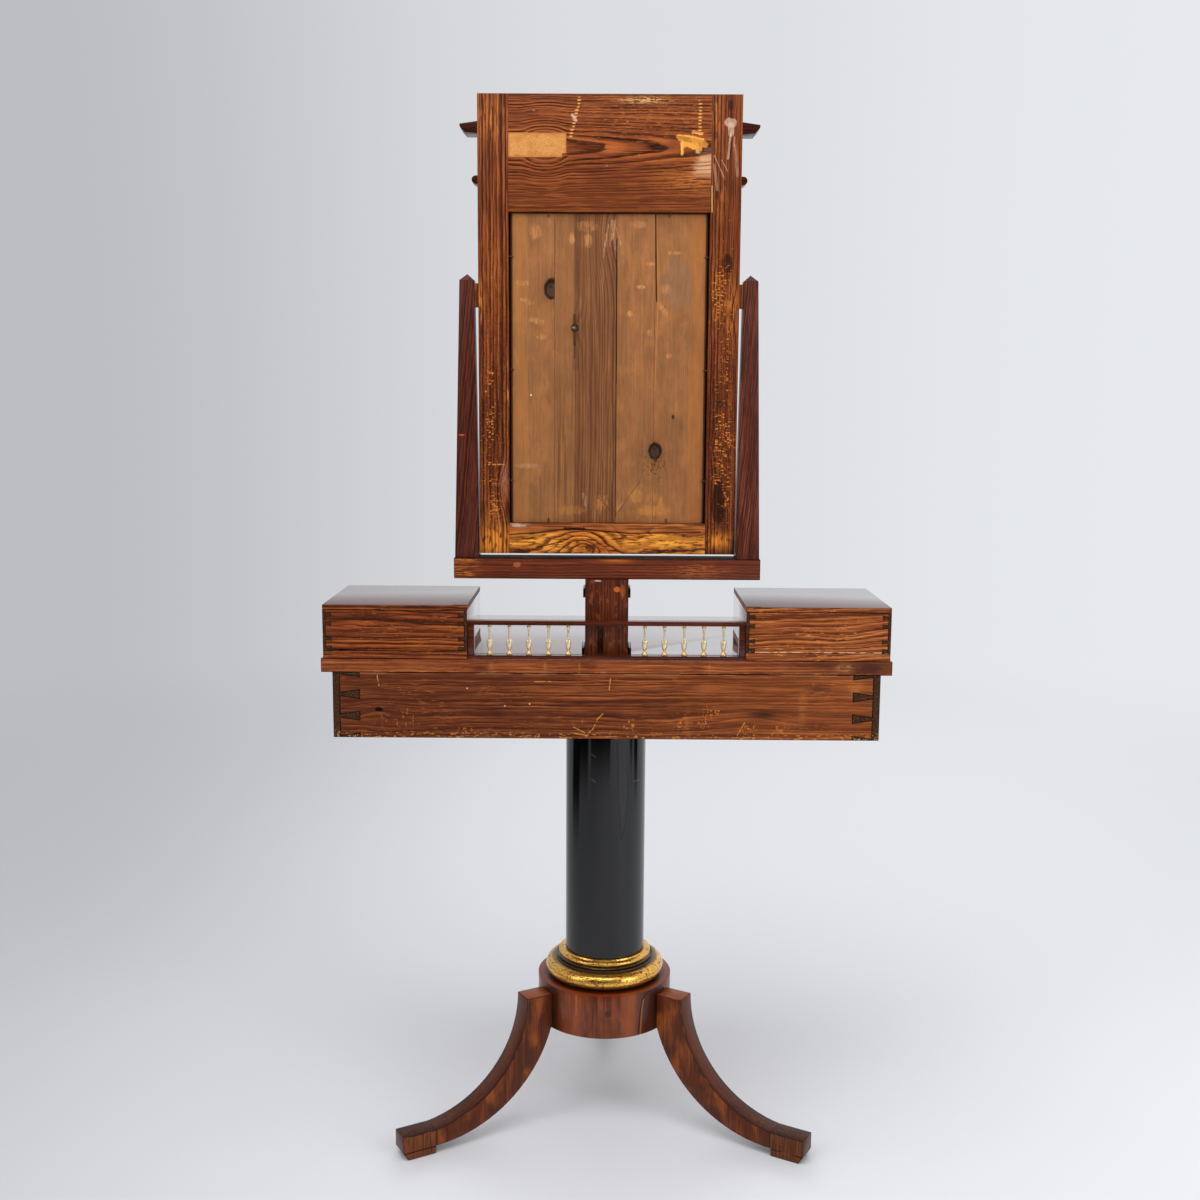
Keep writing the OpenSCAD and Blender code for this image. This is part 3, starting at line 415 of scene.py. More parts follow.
    def growth(self, ring, heart=0.0, depth=0.02, lean=0.0, slope=0.0, wave=0.004, ripple=0.8, eye=None,
               humps=()):
        """Growth lines of a board sawn from a log: 0 in the early wood and 1 in the late wood.

        The log's heart lies at height heart across the board and depth below it. Lean is how fast the
        heart dives along the board, and slope how fast it climbs. An eye is a place along the board
        where the heart comes near the surface, and how steeply it leaves it there. A hump swells or
        dents the lines: its place, size and height.
        """
        along, across, through = self.ways
        sway = self.sum("SUBTRACT", self.cloud((0.30, 0.05, 0.05), 2, 3.1), 0.5)
        off = self.sum("SUBTRACT", across, heart)
        off = self.sum("MULTIPLY_ADD", along, slope, off)
        off = self.sum("MULTIPLY_ADD", sway, wave, off)
        if eye:
            from_eye = self.sum("ABSOLUTE", self.sum("SUBTRACT", along, eye[0]))
            far = self.sum("MULTIPLY_ADD", from_eye, lean, eye[2])
            deep = self.sum("SMOOTH_MIN", self.times(from_eye, eye[1]), far, 0.006)
            deep = self.sum("ADD", deep, depth)
        else:
            deep = self.sum("MULTIPLY_ADD", along, lean, depth)
        deep = self.sum("ADD", deep, through)
        squares = self.sum("ADD", self.times(off, off), self.times(deep, deep))
        radius = self.sum("SQRT", squares)
        for at, size, height in humps:
            radius = self.sum("MULTIPLY_ADD", self.spot(at, size), height, radius)
        rough = self.sum("SUBTRACT", self.cloud((0.04, 0.01, 0.01), 2, 7.7), 0.5)
        radius = self.sum("MULTIPLY_ADD", rough, ring * ripple, radius)
        count = self.sum("DIVIDE", radius, ring)
        uneven = self.add("TexNoise")
        uneven.noise_dimensions = "1D"
        uneven.inputs["Scale"].default_value = 0.45
        self.join(count, uneven.inputs["W"])
        count = self.sum("MULTIPLY_ADD", uneven.outputs[0], 2.2, count)
        within = self.sum("FRACT", count)
        rise = self.fade(within, 0.46, 0.80)
        fall = self.fade(within, 1.0, 0.95)
        whole = self.sum("FLOOR", count)
        chance = self.add("TexWhiteNoise")
        chance.noise_dimensions = "1D"
        self.join(whole, chance.inputs["W"])
        strength = self.sum("MULTIPLY_ADD", chance.outputs[0], 0.5, 0.5)
        self.early = self.times(self.fade(within, 0.58, 0.12), strength)
        self.late = self.times(rise, fall, strength)

    def close(self, roughness=0.4, relief=None, depth=0.0003, shine=0.1, coat=0.0, coat_roughness=0.1,
              coat_ior=1.5, metal=0.0):
        """Joins the colour, gloss and relief to the shader. Gives the material."""
        self.join(self.colour, self.shader.inputs["Base Color"])
        self.join(roughness, self.shader.inputs["Roughness"])
        self.shader.inputs["Specular IOR Level"].default_value = shine
        self.shader.inputs["Coat Weight"].default_value = coat
        self.shader.inputs["Coat Roughness"].default_value = coat_roughness
        self.shader.inputs["Coat IOR"].default_value = coat_ior
        self.shader.inputs["Metallic"].default_value = metal
        if relief is not None:
            bump = self.add("Bump")
            bump.inputs["Strength"].default_value = 1
            bump.inputs["Distance"].default_value = depth
            self.join(relief, bump.inputs["Height"])
            self.join(bump.outputs[0], self.shader.inputs["Normal"])
        return self.material


def start():
    """Leaves nothing selected."""
    if bpy.context.object and bpy.context.object.mode != "OBJECT":
        bpy.ops.object.mode_set(mode="OBJECT")
    bpy.ops.object.select_all(action="DESELECT")


# The rounded arrises are painted dark: grime on old edges, and painted shade in the gaps where pieces meet.
arris = Finish("dark_arris", tone(24, 10, 6))
arris.paint(arris.patches(0.56, 0.72, (0.012, 0.012, 0.012), 3), tone(84, 42, 22))
arris_finish = arris.close(0.5, shine=0.05)
# Edges sharper than the first angle are rounded, and sharper than the second stay crisp. A CAD piece's
# points are merged, and its faces joined where they are this flat.
arris_angle = math.radians(28)
sharp_angle = math.radians(32)
merge_reach = 0.00001
flat_angle = math.radians(0.5)


def soften(piece, edge, steps=2, worn=None):
    """Rounds a piece's arrises by edge metres, in a second finish if worn names it, and shades it smooth."""
    start()
    piece.select_set(True)
    bpy.context.view_layer.objects.active = piece
    if worn:
        piece.data.materials.append(worn)
    if edge:
        bevel = piece.modifiers.new("arrises", "BEVEL")
        bevel.width = edge
        bevel.segments = steps
        bevel.limit_method = "ANGLE"
        bevel.angle_limit = arris_angle
        if worn:
            bevel.material = len(piece.data.materials) - 1
        bpy.ops.object.modifier_apply(modifier=bevel.name)
    bpy.ops.object.shade_smooth_by_angle(angle=sharp_angle)


def joiner_copy(node, name, body, material, edge=0.0008, worn=arris_finish):
    """A copy of a CAD piece with its arrises softened, which stands in that piece's place."""
    piece = bpy.data.objects.new(name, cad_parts[node].data.copy())
    bpy.context.scene.collection.objects.link(piece)
    start()
    piece.select_set(True)
    bpy.context.view_layer.objects.active = piece
    bpy.ops.object.mode_set(mode="EDIT")
    bpy.ops.mesh.select_all(action="SELECT")
    bpy.ops.mesh.remove_doubles(threshold=merge_reach)
    bpy.ops.mesh.dissolve_limited(angle_limit=flat_angle)
    bpy.ops.object.mode_set(mode="OBJECT")
    piece.data.materials.clear()
    piece.data.materials.append(material)
    soften(piece, edge, worn=worn)
    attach(piece, body)
    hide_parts(node)
    return piece


leg_axis = (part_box("leg_drum")[0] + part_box("leg_drum")[1]) / 2


def upright_ways(finish, middle, radius=None):
    """Turns the ways for upright grain: across is the way out from an upright axis, or round it."""
    x = finish.sum("SUBTRACT", finish.point["X"], middle.x)
    y = finish.sum("SUBTRACT", finish.point["Y"], middle.y)
    if radius:
        across = finish.times(finish.sum("ARCTAN2", x, y), radius)
    else:
        across = finish.sum("SQRT", finish.sum("ADD", finish.times(x, x), finish.times(y, y)))
    finish.ways = [finish.point["Z"], across, 0.0]


def polish_figure(finish, shade, light, glow=0.6, figure=0.5):
    """Polished cherry along its grain, before its marks: shades, lights, lines and fibres."""
    broad = finish.cloud((0.16, 0.014, 0.02), 3, 2.2)
    finish.paint(finish.fade(broad, 0.42, 0.62), shade)
    lights = finish.cloud((0.08, 0.016, 0.02), 3, 9.2)
    finish.mark(light, finish.fade(lights, 0.50, 0.68), glow)
    lines = finish.cloud((0.12, 0.0030, 0.003), 2, 4.6)
    finish.mark(tone(46, 17, 8), finish.fade(lines, 0.5, 0.68), figure)
    finish.fibre = finish.cloud((0.02, 0.0009, 0.0009), 3, 5.3)
    finish.mark(tone(44, 18, 9), finish.fade(finish.fibre, 0.5, 0.72), 0.45)


# The grain of a leg follows its curve. The curve's middle is given out from the table's axis, and up.
leg_bend_out = 0.321
leg_bend_up = 0.211
leg_bend_radius = 0.19
leg_wood = Finish("leg_wood", tone(94, 43, 18), "ZXY")
upright_ways(leg_wood, leg_axis)
leg_out = leg_wood.ways[1]
bend_out = leg_wood.sum("SUBTRACT", leg_bend_out, leg_out)
bend_up = leg_wood.sum("SUBTRACT", leg_bend_up, leg_wood.point["Z"])
bend_squares = leg_wood.sum("ADD", leg_wood.times(bend_out, bend_out), leg_wood.times(bend_up, bend_up))
bend_turn = leg_wood.sum("ARCTAN2", bend_out, bend_up)
leg_x = leg_wood.sum("SUBTRACT", leg_wood.point["X"], leg_axis.x)
leg_y = leg_wood.sum("SUBTRACT", leg_wood.point["Y"], leg_axis.y)
leg_round = leg_wood.sum("SINE", leg_wood.times(leg_wood.sum("ARCTAN2", leg_x, leg_y), 3))
leg_sideways = leg_wood.times(leg_round, leg_out, 1 / 3)
leg_turned = leg_wood.sum("ADD", leg_wood.times(leg_x, leg_wood.facing["X"]),
                          leg_wood.times(leg_y, leg_wood.facing["Y"]))
leg_outward = leg_wood.sum("DIVIDE", leg_turned, leg_out)
leg_bent = leg_wood.sum("ADD", leg_wood.times(leg_outward, leg_outward),
                        leg_wood.times(leg_wood.facing["Z"], leg_wood.facing["Z"]))
leg_bent = leg_wood.fade(leg_bent, 0.3, 0.6)
leg_wood.ways = [leg_wood.point["Z"], leg_out, leg_sideways]
polish_figure(leg_wood, tone(84, 37, 15), tone(150, 74, 28), glow=0.5, figure=0.5)
leg_amber = leg_wood.patches(0.46, 0.72, (0.05, 0.030, 0.02), 2, 31.0)
leg_wood.mark(tone(178, 92, 32), leg_amber, 0.55)
leg_lines = leg_wood.patches(0.50, 0.66, (0.05, 0.0016, 0.01), 2, 36.0)
leg_wood.mark(tone(58, 25, 11), leg_lines, 0.45)
leg_wood.ways = [leg_wood.times(bend_turn, leg_bend_radius), leg_wood.sum("SQRT", bend_squares),
                 leg_sideways]
leg_wood.mark(tone(88, 41, 18), leg_bent, 0.85)
leg_stripes = leg_wood.patches(0.46, 0.66, (0.10, 0.01, 0.0024), 3, 37.0)
leg_wood.mark(tone(50, 22, 11), leg_bent, leg_stripes, 0.6)
leg_low = leg_wood.fade(leg_wood.point["Z"], 0.10, 0.05)
leg_specks = leg_wood.patches(0.48, 0.60, (0.007, 0.0030, 0.0024), 3, 3.3)
leg_wood.mark(tone(34, 15, 8), leg_bent, leg_specks, leg_low, 0.7)
leg_half = 0.017
leg_beside = leg_wood.fade(leg_wood.sum("ABSOLUTE", leg_sideways), leg_half - 0.0085, leg_half - 0.002)
leg_wood.mark(tone(34, 14, 8), leg_bent, leg_beside, leg_wood.fade(leg_wood.point["Z"], 0.20, 0.13), 0.65)
# The flat tops of the legs' shoulders are painted lighter: painted light.
lit_leg_shoulder = leg_wood.times(leg_wood.fade(leg_wood.facing["Z"], 0.95, 0.99),
                              leg_wood.fade(leg_wood.point["Z"], 0.17, 0.19))
leg_wood.mark(tone(150, 76, 38), lit_leg_shoulder, 0.85)
# The toe is capped with a block, whose joints show
toe_start = 0.300
toe_reach = 0.352
toe_low = leg_wood.fade(leg_wood.point["Z"], 0.045, 0.036)
toe_block = leg_wood.times(leg_wood.band(leg_out, toe_start, toe_reach, 0.0008), toe_low)
toe_specks = leg_wood.patches(0.46, 0.60, (0.0030, 0.0030, 0.0030), 3, 35.0)
leg_wood.ways = [leg_wood.point["Z"], leg_out, leg_sideways]
toe_lines = leg_wood.patches(0.46, 0.60, (0.05, 0.0022, 0.01), 2, 38.0)
leg_wood.mark(tone(132, 74, 34), toe_block, leg_wood.sum("SUBTRACT", 1, leg_bent), 0.5)
leg_wood.mark(tone(50, 23, 12), toe_block, toe_lines, 0.6)
leg_wood.mark(tone(38, 17, 10), toe_block, leg_bent, toe_specks, 0.7)
for toe_joint, joint_share in ((toe_start, 0.9), (toe_start - 0.016, 0.5)):
    joint_line = leg_wood.band(leg_out, toe_joint - 0.0012, toe_joint + 0.0005, 0.0004)
    leg_wood.mark(tone(24, 10, 7), joint_line, toe_low, joint_share)
leg_finish = leg_wood.close(0.34, leg_wood.fibre, 0.0001, shine=0.15, coat=0.08, coat_roughness=0.2)

leg_edge = Finish("leg_arris", tone(40, 16, 8))
leg_edge.paint(leg_edge.patches(0.52, 0.68, (0.02, 0.02, 0.02), 3), tone(126, 68, 36))
leg_edge_finish = leg_edge.close(0.36, shine=0.12)

for leg in ("leg_front", "leg_back_left", "leg_back_right"):
    joiner_copy(leg, leg.replace("leg", "sabre_leg"), "table", leg_finish, edge=0.0026,
                worn=leg_edge_finish)
joiner_copy("foot_pads", "toe_blocks", "table", leg_finish, edge=0.0014, worn=leg_edge_finish)


# Drum
# A round block that takes the three legs, veneered with upright grain and polished.
drum_low, drum_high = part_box("leg_drum")
drum_radius = (drum_high.x - drum_low.x) / 2
drum_wood = Finish("drum_wood", tone(122, 56, 24), "ZXY")
upright_ways(drum_wood, leg_axis)
drum_out = drum_wood.ways[1]
upright_ways(drum_wood, leg_axis, drum_radius)
polish_figure(drum_wood, tone(88, 38, 16), tone(158, 76, 30), glow=0.45, figure=0.5)
drum_cloud = drum_wood.patches(0.46, 0.62, (0.022, 0.014, 0.02), 3, 41.0)
drum_wood.mark(tone(80, 35, 16), drum_cloud, 0.45)
# Lighter and darker stretches of the veneer, the lighter one from 0.034 to 0.064 partly a painted
# reflection, and darker strips beside the legs: from, to, strength and tone
for drum_from, drum_to, drum_share, drum_tone in (
        (-0.052, -0.030, 0.35, tone(184, 96, 40)), (0.034, 0.064, 0.3, tone(160, 78, 34)),
        (-0.100, -0.064, 0.75, tone(58, 25, 13)), (0.076, 0.110, 0.85, tone(34, 14, 9)),
        (-0.110, -0.085, 0.8, tone(26, 11, 7))):
    drum_band = drum_wood.band(drum_wood.ways[1], drum_from, drum_to, 0.008)
    drum_wood.mark(drum_tone, drum_band, drum_share)
drum_top = drum_wood.fade(drum_wood.facing["Z"], 0.8, 0.95)
drum_wood.mark(tone(132, 48, 18), drum_top, 0.8)
# A ring of painted shade on the drum's top, round the foot of the gilt ring.
drum_gilt_shade = drum_wood.fade(drum_out, 0.0985, 0.0925)
drum_wood.mark(tone(30, 12, 8), drum_top, drum_gilt_shade, 0.85)
drum_side = drum_wood.fade(drum_wood.facing["Z"], 0.5, 0.2)
# A crack and its filler, a knot and a pale line, given by height and by the way round the drum
drum_crack = [
    (0.225, -0.084), (0.219, -0.070), (0.212, -0.062), (0.196, -0.0590), (0.180, -0.0575), (0.155, -0.0560),
]
drum_filler = [(height, around - 0.0026) for height, around in drum_crack[2:]]
drum_filling = drum_wood.times(drum_wood.streak(drum_filler, 0.0016), drum_side, 0.5)
drum_wood.paint(drum_filling, tone(190, 118, 62))
drum_wood.mark(tone(22, 9, 6), drum_wood.streak(drum_crack, 0.0022), drum_side, 0.95)
drum_knot = drum_wood.spot((0.196, -0.006), (0.0065, 0.0055), 0.25, 2.0)
drum_wood.mark(tone(48, 22, 13), drum_knot, 0.75)
drum_line = drum_wood.streak([(0.222, 0.044), (0.190, 0.0445)], 0.0009)
drum_wood.mark(tone(206, 136, 76), drum_line, drum_side, 0.45)
drum_finish = drum_wood.close(0.28, drum_wood.fibre, 0.00008, shine=0.2, coat=0.25, coat_roughness=0.08)
joiner_copy("leg_drum", "veneered_drum", "table", drum_finish, edge=0.0008)


# Gilt ring
# A turned ring of a large and a small bead with a cove between, gilded over red bole and worn.
round_sides = 128
turned_sharp_angle = math.radians(40)


def ring_solid(name, outline, middle, sides):
    """A turned ring: the outline's points are radius and height, and close round on themselves."""
    start()
    radius, height = outline[0]
    bpy.ops.mesh.primitive_circle_add(vertices=sides, radius=radius, location=(middle.x, middle.y, height))
    piece = bpy.context.object
    piece.name = name
    bpy.ops.object.mode_set(mode="EDIT")
    bpy.ops.mesh.select_all(action="SELECT")
    for far, up in outline[1:] + outline[:1]:
        bpy.ops.mesh.extrude_region_move(TRANSFORM_OT_translate={"value": (0, 0, up - height)})
        grow = far / radius
        bpy.ops.transform.resize(value=(grow, grow, 1), center_override=(middle.x, middle.y, up))
        radius, height = far, up
    bpy.ops.mesh.select_all(action="SELECT")
    bpy.ops.mesh.remove_doubles(threshold=merge_reach)
    bpy.ops.mesh.normals_make_consistent(inside=False)
    bpy.ops.object.mode_set(mode="OBJECT")
    bpy.ops.object.transform_apply(location=True, rotation=True, scale=True)
    bpy.ops.object.shade_smooth_by_angle(angle=turned_sharp_angle)
    return piece


def bow(centre, radius, first, last, steps):
    """Points on an arc about centre, from the first angle to the last, in degrees."""
    points = []
    for step in range(steps + 1):
        angle = math.radians(first + (last - first) * step / steps)
        points.append((centre[0] + radius * math.cos(angle), centre[1] + radius * math.sin(angle)))
    return points


gilt_low, gilt_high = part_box("gilt_base")
gilt_bore = 0.0242
gilt_foot = gilt_low.z
large_bead = 0.013
large_core = (gilt_high.x - gilt_low.x) / 2 - large_bead
small_bead = 0.0035
small_core = 0.069
# From the bore out along the foot, over the large bead, in through the cove and over the small bead
gilt_outline = [(gilt_bore, gilt_foot), (large_core - 0.004, gilt_foot)]
gilt_outline += bow((large_core, gilt_foot + large_bead), large_bead, -80, 92, 18)
gilt_outline += [(large_core - 0.0025, gilt_foot + 0.0262), (large_core - 0.0028, gilt_foot + 0.0285)]
gilt_outline += [(large_core - 0.0050, gilt_foot + 0.0290)]
gilt_outline += bow((small_core + 0.0034, gilt_foot + 0.0312), 0.0036, -20, -150, 8)
gilt_outline += [(small_core - 0.0008, gilt_foot + 0.0306), (small_core - 0.0008, gilt_foot + 0.0322)]
gilt_outline += bow((small_core, gilt_foot + 0.0361), small_bead, -75, 85, 10)
gilt_outline += [(small_core - 0.0024, gilt_high.z - 0.0018), (small_core - 0.0034, gilt_high.z)]
gilt_outline += [(gilt_bore, gilt_high.z)]
gilt_ring = ring_solid("gilt_ring", gilt_outline, (gilt_low + gilt_high) / 2, round_sides)

gilding = Finish("gilding", tone(255, 194, 84), "XYZ")
upright_ways(gilding, leg_axis, large_core)
gilt_tarnish = gilding.cloud((0.010, 0.035, 0.02), 3, 2.0)
gilding.mark(tone(214, 128, 42), gilding.fade(gilt_tarnish, 0.50, 0.70), 0.45)
gilt_specks = gilding.cloud((0.0022, 0.0036, 0.02), 4, 6.0)
gilding.mark(tone(56, 26, 12), gilding.fade(gilt_specks, 0.54, 0.62), 0.9)
gilt_dust = gilding.cloud((0.0016, 0.0024, 0.02), 3, 16.0)
gilding.mark(tone(236, 196, 110), gilding.fade(gilt_dust, 0.6, 0.68), 0.6)
# Faces that look down are painted darker: painted shade. The cove between the beads is painted near black.
gilt_underside_shade = gilding.fade(gilding.facing["Z"], -0.15, -0.75)
gilding.mark(tone(60, 30, 12), gilt_underside_shade, 0.65)
gilt_cove = gilding.band(gilding.point["Z"], gilt_foot + 0.0255, gilt_foot + 0.0318, 0.0008)
gilding.mark(tone(30, 14, 7), gilt_cove, 0.9)
gilt_crackle = gilding.add("TexVoronoi")
gilt_crackle.feature = "DISTANCE_TO_EDGE"
gilt_crackle.inputs["Scale"].default_value = 90
gilt_spread = gilding.add("CombineXYZ")
for way, socket in zip(gilding.ways, gilt_spread.inputs):
    gilding.join(way, socket)
gilding.join(gilt_spread.outputs[0], gilt_crackle.inputs["Vector"])
gilt_cracks = gilding.fade(gilt_crackle.outputs["Distance"], 0.06, 0.01)
gilt_cracked = gilding.patches(0.5, 0.6, (0.02, 0.03, 0.02), 2, 21.0)
gilding.mark(tone(44, 22, 10), gilt_cracks, gilt_cracked, 0.7)
gilt_roughness = gilding.sum("MULTIPLY_ADD", gilt_specks, 0.34, 0.04)
gilt_relief = gilding.sum("MULTIPLY", gilt_specks, -1)
gilding_finish = gilding.close(gilt_roughness, gilt_relief, 0.0005, shine=0.5, coat=0.35,
                               coat_roughness=0.08, metal=0.85)
gilt_ring.data.materials.append(gilding_finish)
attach(gilt_ring, "table")
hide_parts("gilt_base")


# Column
# A turned shaft, ebonised and French polished to a gloss, with a tenon at each end.
def turned(name, outline, middle, sides):
    """A turned solid: the outline's points are radius and height, from the bottom end to the top end."""
    start()
    radius, height = outline[0]
    bpy.ops.mesh.primitive_circle_add(
        vertices=sides, radius=radius, fill_type="NGON", location=(middle[0], middle[1], height)
    )
    piece = bpy.context.object
    piece.name = name
    bpy.ops.object.mode_set(mode="EDIT")
    bpy.ops.mesh.select_all(action="SELECT")
    for far, up in outline[1:]:
        bpy.ops.mesh.extrude_region_move(TRANSFORM_OT_translate={"value": (0, 0, up - height)})
        grow = far / radius
        bpy.ops.transform.resize(value=(grow, grow, 1), center_override=(middle[0], middle[1], up))
        radius, height = far, up
    bpy.ops.mesh.select_all(action="SELECT")
    bpy.ops.mesh.normals_make_consistent(inside=False)
    bpy.ops.object.mode_set(mode="OBJECT")
    bpy.ops.object.transform_apply(location=True, rotation=True, scale=True)
    bpy.ops.object.shade_smooth_by_angle(angle=turned_sharp_angle)
    return piece


column_low, column_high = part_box("column")
column_radius = (column_high.x - column_low.x) / 2
tenon_radius = 0.024
shaft_arris = 0.0012
shaft_plain = 0.12
shaft_foot = gilt_high.z
shaft_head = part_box("head_plate")[0].z
column_outline = [(tenon_radius, column_low.z), (tenon_radius, shaft_foot),
                  (column_radius - shaft_arris, shaft_foot), (column_radius, shaft_foot + shaft_arris),
                  (column_radius, shaft_foot + shaft_plain), (column_radius, shaft_head - shaft_plain),
                  (column_radius, shaft_head - shaft_arris), (column_radius - shaft_arris, shaft_head),
                  (tenon_radius, shaft_head), (tenon_radius, column_high.z)]
shaft = turned("ebonised_shaft", column_outline, (column_low + column_high) / 2, round_sides)


def ebonised(name, ways="ZXY"):
    """Black polish over turned wood, before its marks."""
    finish = Finish(name, tone(4, 4, 5), ways)
    finish.fibre = finish.cloud((0.3, 0.006, 0.006), 3, 2.5)
    finish.mark(tone(14, 12, 13), finish.fade(finish.fibre, 0.5, 0.75), 0.6)
    dust = finish.patches(0.70, 0.76, (0.002, 0.002, 0.002), 3, 6.5)
    finish.mark(tone(84, 80, 78), dust, 0.5)
    return finish


ebony = ebonised("ebonised")
ebonised_finish = ebony.close(0.14, ebony.fibre, 0.0002, shine=0.6)

shaft_polish = ebonised("ebonised_shaft")
upright_ways(shaft_polish, (column_low + column_high) / 2, column_radius)
# Old runs and nicks in the polish: heights, and distances round the shaft
shaft_run = shaft_polish.streak([(0.6125, -0.0177), (0.5200, -0.0200), (0.4594, -0.0247), (0.4750, -0.0300),
                                 (0.5200, -0.0340), (0.5600, -0.0350)], 0.0010)
# A paler purple band on the upper shaft, to one side, is a painted reflection.
shaft_reflection_band = shaft_polish.band(shaft_polish.ways[1], -0.033, -0.018, 0.003)
shaft_reflection_band = shaft_polish.times(shaft_reflection_band, shaft_polish.fade(shaft_polish.point["Z"], 0.46, 0.52))
shaft_polish.mark(tone(40, 37, 44), shaft_reflection_band, 0.35)
for nick in ([(0.5925, 0.0226), (0.5880, 0.0153)], [(0.5525, 0.0226), (0.5490, 0.0153)],
             [(0.5462, -0.0469), (0.5462, -0.0635)]):
    shaft_polish.mark(tone(96, 94, 98), shaft_polish.streak(nick, 0.0009), 0.7)
shaft_gloss = shaft_polish.sum("MULTIPLY_ADD", shaft_polish.cloud((0.12, 0.012, 0.02), 3, 4.5), 0.08, 0.01)
shaft_relief = shaft_polish.sum("MULTIPLY_ADD", shaft_run, -3, shaft_polish.fibre)
shaft.data.materials.append(shaft_polish.close(shaft_gloss, shaft_relief, 0.0001, shine=0.5))
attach(shaft, "table")
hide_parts("column")


# Head plate
# A square of stained pine glued on the column's tenon and screwed up into the case. Its screws, the
# mirror's pins and the back panel's brads are old steel.
def wood(name, ways, pale, middle, dark, ring, lines=0.85, fibre=0.45, stain=0.2, streaks=0.0, **log):
    """Sawn wood under old stain, before its gloss: early and late wood, stains, streaks and fibres."""
    finish = Finish(name, middle, ways)
    finish.growth(ring, **log)
    patches = finish.patches(0.36, 0.66, (0.10, 0.018, 0.018), 3, 1.7)
    finish.mark(pale, finish.early, patches)
    stains = finish.patches(0.5, 0.74, (0.06, 0.013, 0.013), 3, 8.1)
    finish.mark(dark, stains, stain)
    if streaks:
        coarse = finish.cloud((0.07, 0.0034, 0.0034), 3, 6.6)
        finish.mark(pale, finish.fade(coarse, 0.46, 0.36), streaks)
        finish.mark(dark, finish.fade(coarse, 0.52, 0.64), streaks)
    finish.mark(dark, finish.late, lines)
    finish.fibre = finish.cloud((0.024, 0.0008, 0.0008), 3, 5.3)
    finish.mark(dark, finish.fade(finish.fibre, 0.50, 0.70), fibre)
    finish.mark(pale, finish.fade(finish.fibre, 0.44, 0.30), fibre * 0.8)
    finish.relief = finish.sum("MULTIPLY_ADD", finish.late, 0.7, finish.fibre)
    return finish


plate_wood = wood("plate_wood", "XYZ", tone(140, 84, 50), tone(112, 62, 36), tone(62, 30, 18), ring=0.004,
                  heart=0.05, depth=0.03)
plate_finish = plate_wood.close(0.6, plate_wood.fibre, 0.0002)
joiner_copy("head_plate", "column_head_plate", "table", plate_finish, edge=0.0015)

steel = Finish("old_steel", tone(96, 88, 80), "XYZ")
steel.paint(steel.patches(0.5, 0.7, (0.004, 0.004, 0.004), 3), tone(66, 46, 34))
steel_finish = steel.close(0.45, steel.cloud((0.001, 0.001, 0.001), 2), 0.0001, metal=0.8)
for node in ("head_plate_screws", "pivot_pins", "back_panel_brads"):
    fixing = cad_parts[node]
    fixing.data.materials.clear()
    fixing.data.materials.append(steel_finish)


# Case
# A pine back dovetailed between thick side boards, with a bottom board let into rebates below.
# The camera sees the back: worn stain, a knot, old scratches and pale chips on the lower edge.
def flecks(finish, colour, size, where, share=0.85, seed=14.0, least=0.58):
    """Little bright dashes where the stain has rubbed or chipped off."""
    dashes = finish.patches(least, least + 0.05, size, 3, seed)
    torn = finish.patches(0.36, 0.50, (size[0] * 0.3, size[1] * 0.6, 0.01), 2, seed + 9)
    finish.mark(colour, dashes, torn, where, share)


def chips(finish, colour, where, share=0.9, cell=(0.0038, 0.0044), seed=81.0):
    """Small bright chips in crooked rows and columns, more of them where the mask is high."""
    sway = finish.sum("SUBTRACT", finish.cloud((0.018, 0.012, 0.02), 3, seed), 0.5)
    inside = []
    whole = []
    for way, size, crooked in zip(finish.ways, cell, (3.0, 1.5)):
        count = finish.sum("MULTIPLY_ADD", sway, crooked, finish.sum("MULTIPLY_ADD", way, 1 / size, seed))
        whole.append(finish.sum("FLOOR", count))
        inside.append(finish.sum("ABSOLUTE", finish.sum("SUBTRACT", finish.sum("FRACT", count), 0.5)))
    which = finish.add("CombineXYZ")
    for value, socket in zip(whole, which.inputs):
        finish.join(value, socket)
    pick = finish.add("TexWhiteNoise")
    pick.noise_dimensions = "3D"
    finish.join(which.outputs[0], pick.inputs["Vector"])
    kept = finish.fade(finish.sum("SUBTRACT", where, pick.outputs["Value"]), 0.0, 0.25)
    shape = finish.times(finish.fade(inside[0], 0.42, 0.24), finish.fade(inside[1], 0.50, 0.26))
    torn = finish.patches(0.34, 0.50, (0.0016, 0.0022, 0.01), 2, seed + 4)
    finish.mark(colour, kept, shape, torn, share)


case_pale = tone(180, 100, 48)
case_middle = tone(122, 62, 34)
case_dark = tone(42, 15, 8)
case_low, case_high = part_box("case_back")
back_wood = wood("case_back_wood", "XZY", case_pale, case_middle, case_dark, ring=0.0044, lines=0.75,
                 streaks=0.35, heart=0.95, depth=0.0, wave=0.010, slope=0.004,
                 humps=[((0.321, 0.692), (0.035, 0.012), 0.006), ((-0.205, 0.683), (0.05, 0.016), 0.006),
                        ((-0.07, 0.672), (0.06, 0.02), -0.004), ((0.30, 0.665), (0.06, 0.01), -0.004)])
back_wood.mark(tone(180, 98, 46), back_wood.fade(back_wood.point["X"], 0.05, -0.36), 0.24)
back_lines = back_wood.patches(0.50, 0.64, (0.07, 0.0020, 0.01), 3, 93.0)
back_wood.mark(tone(58, 23, 12), back_lines, 0.4)
back_wood.mark(tone(78, 34, 20), back_wood.fade(back_wood.point["X"], -0.06, 0.26), 0.38)
back_wood.paint(back_wood.spot((0.321, 0.692), (0.0065, 0.0035), 0.25, 1.0), tone(20, 9, 7))
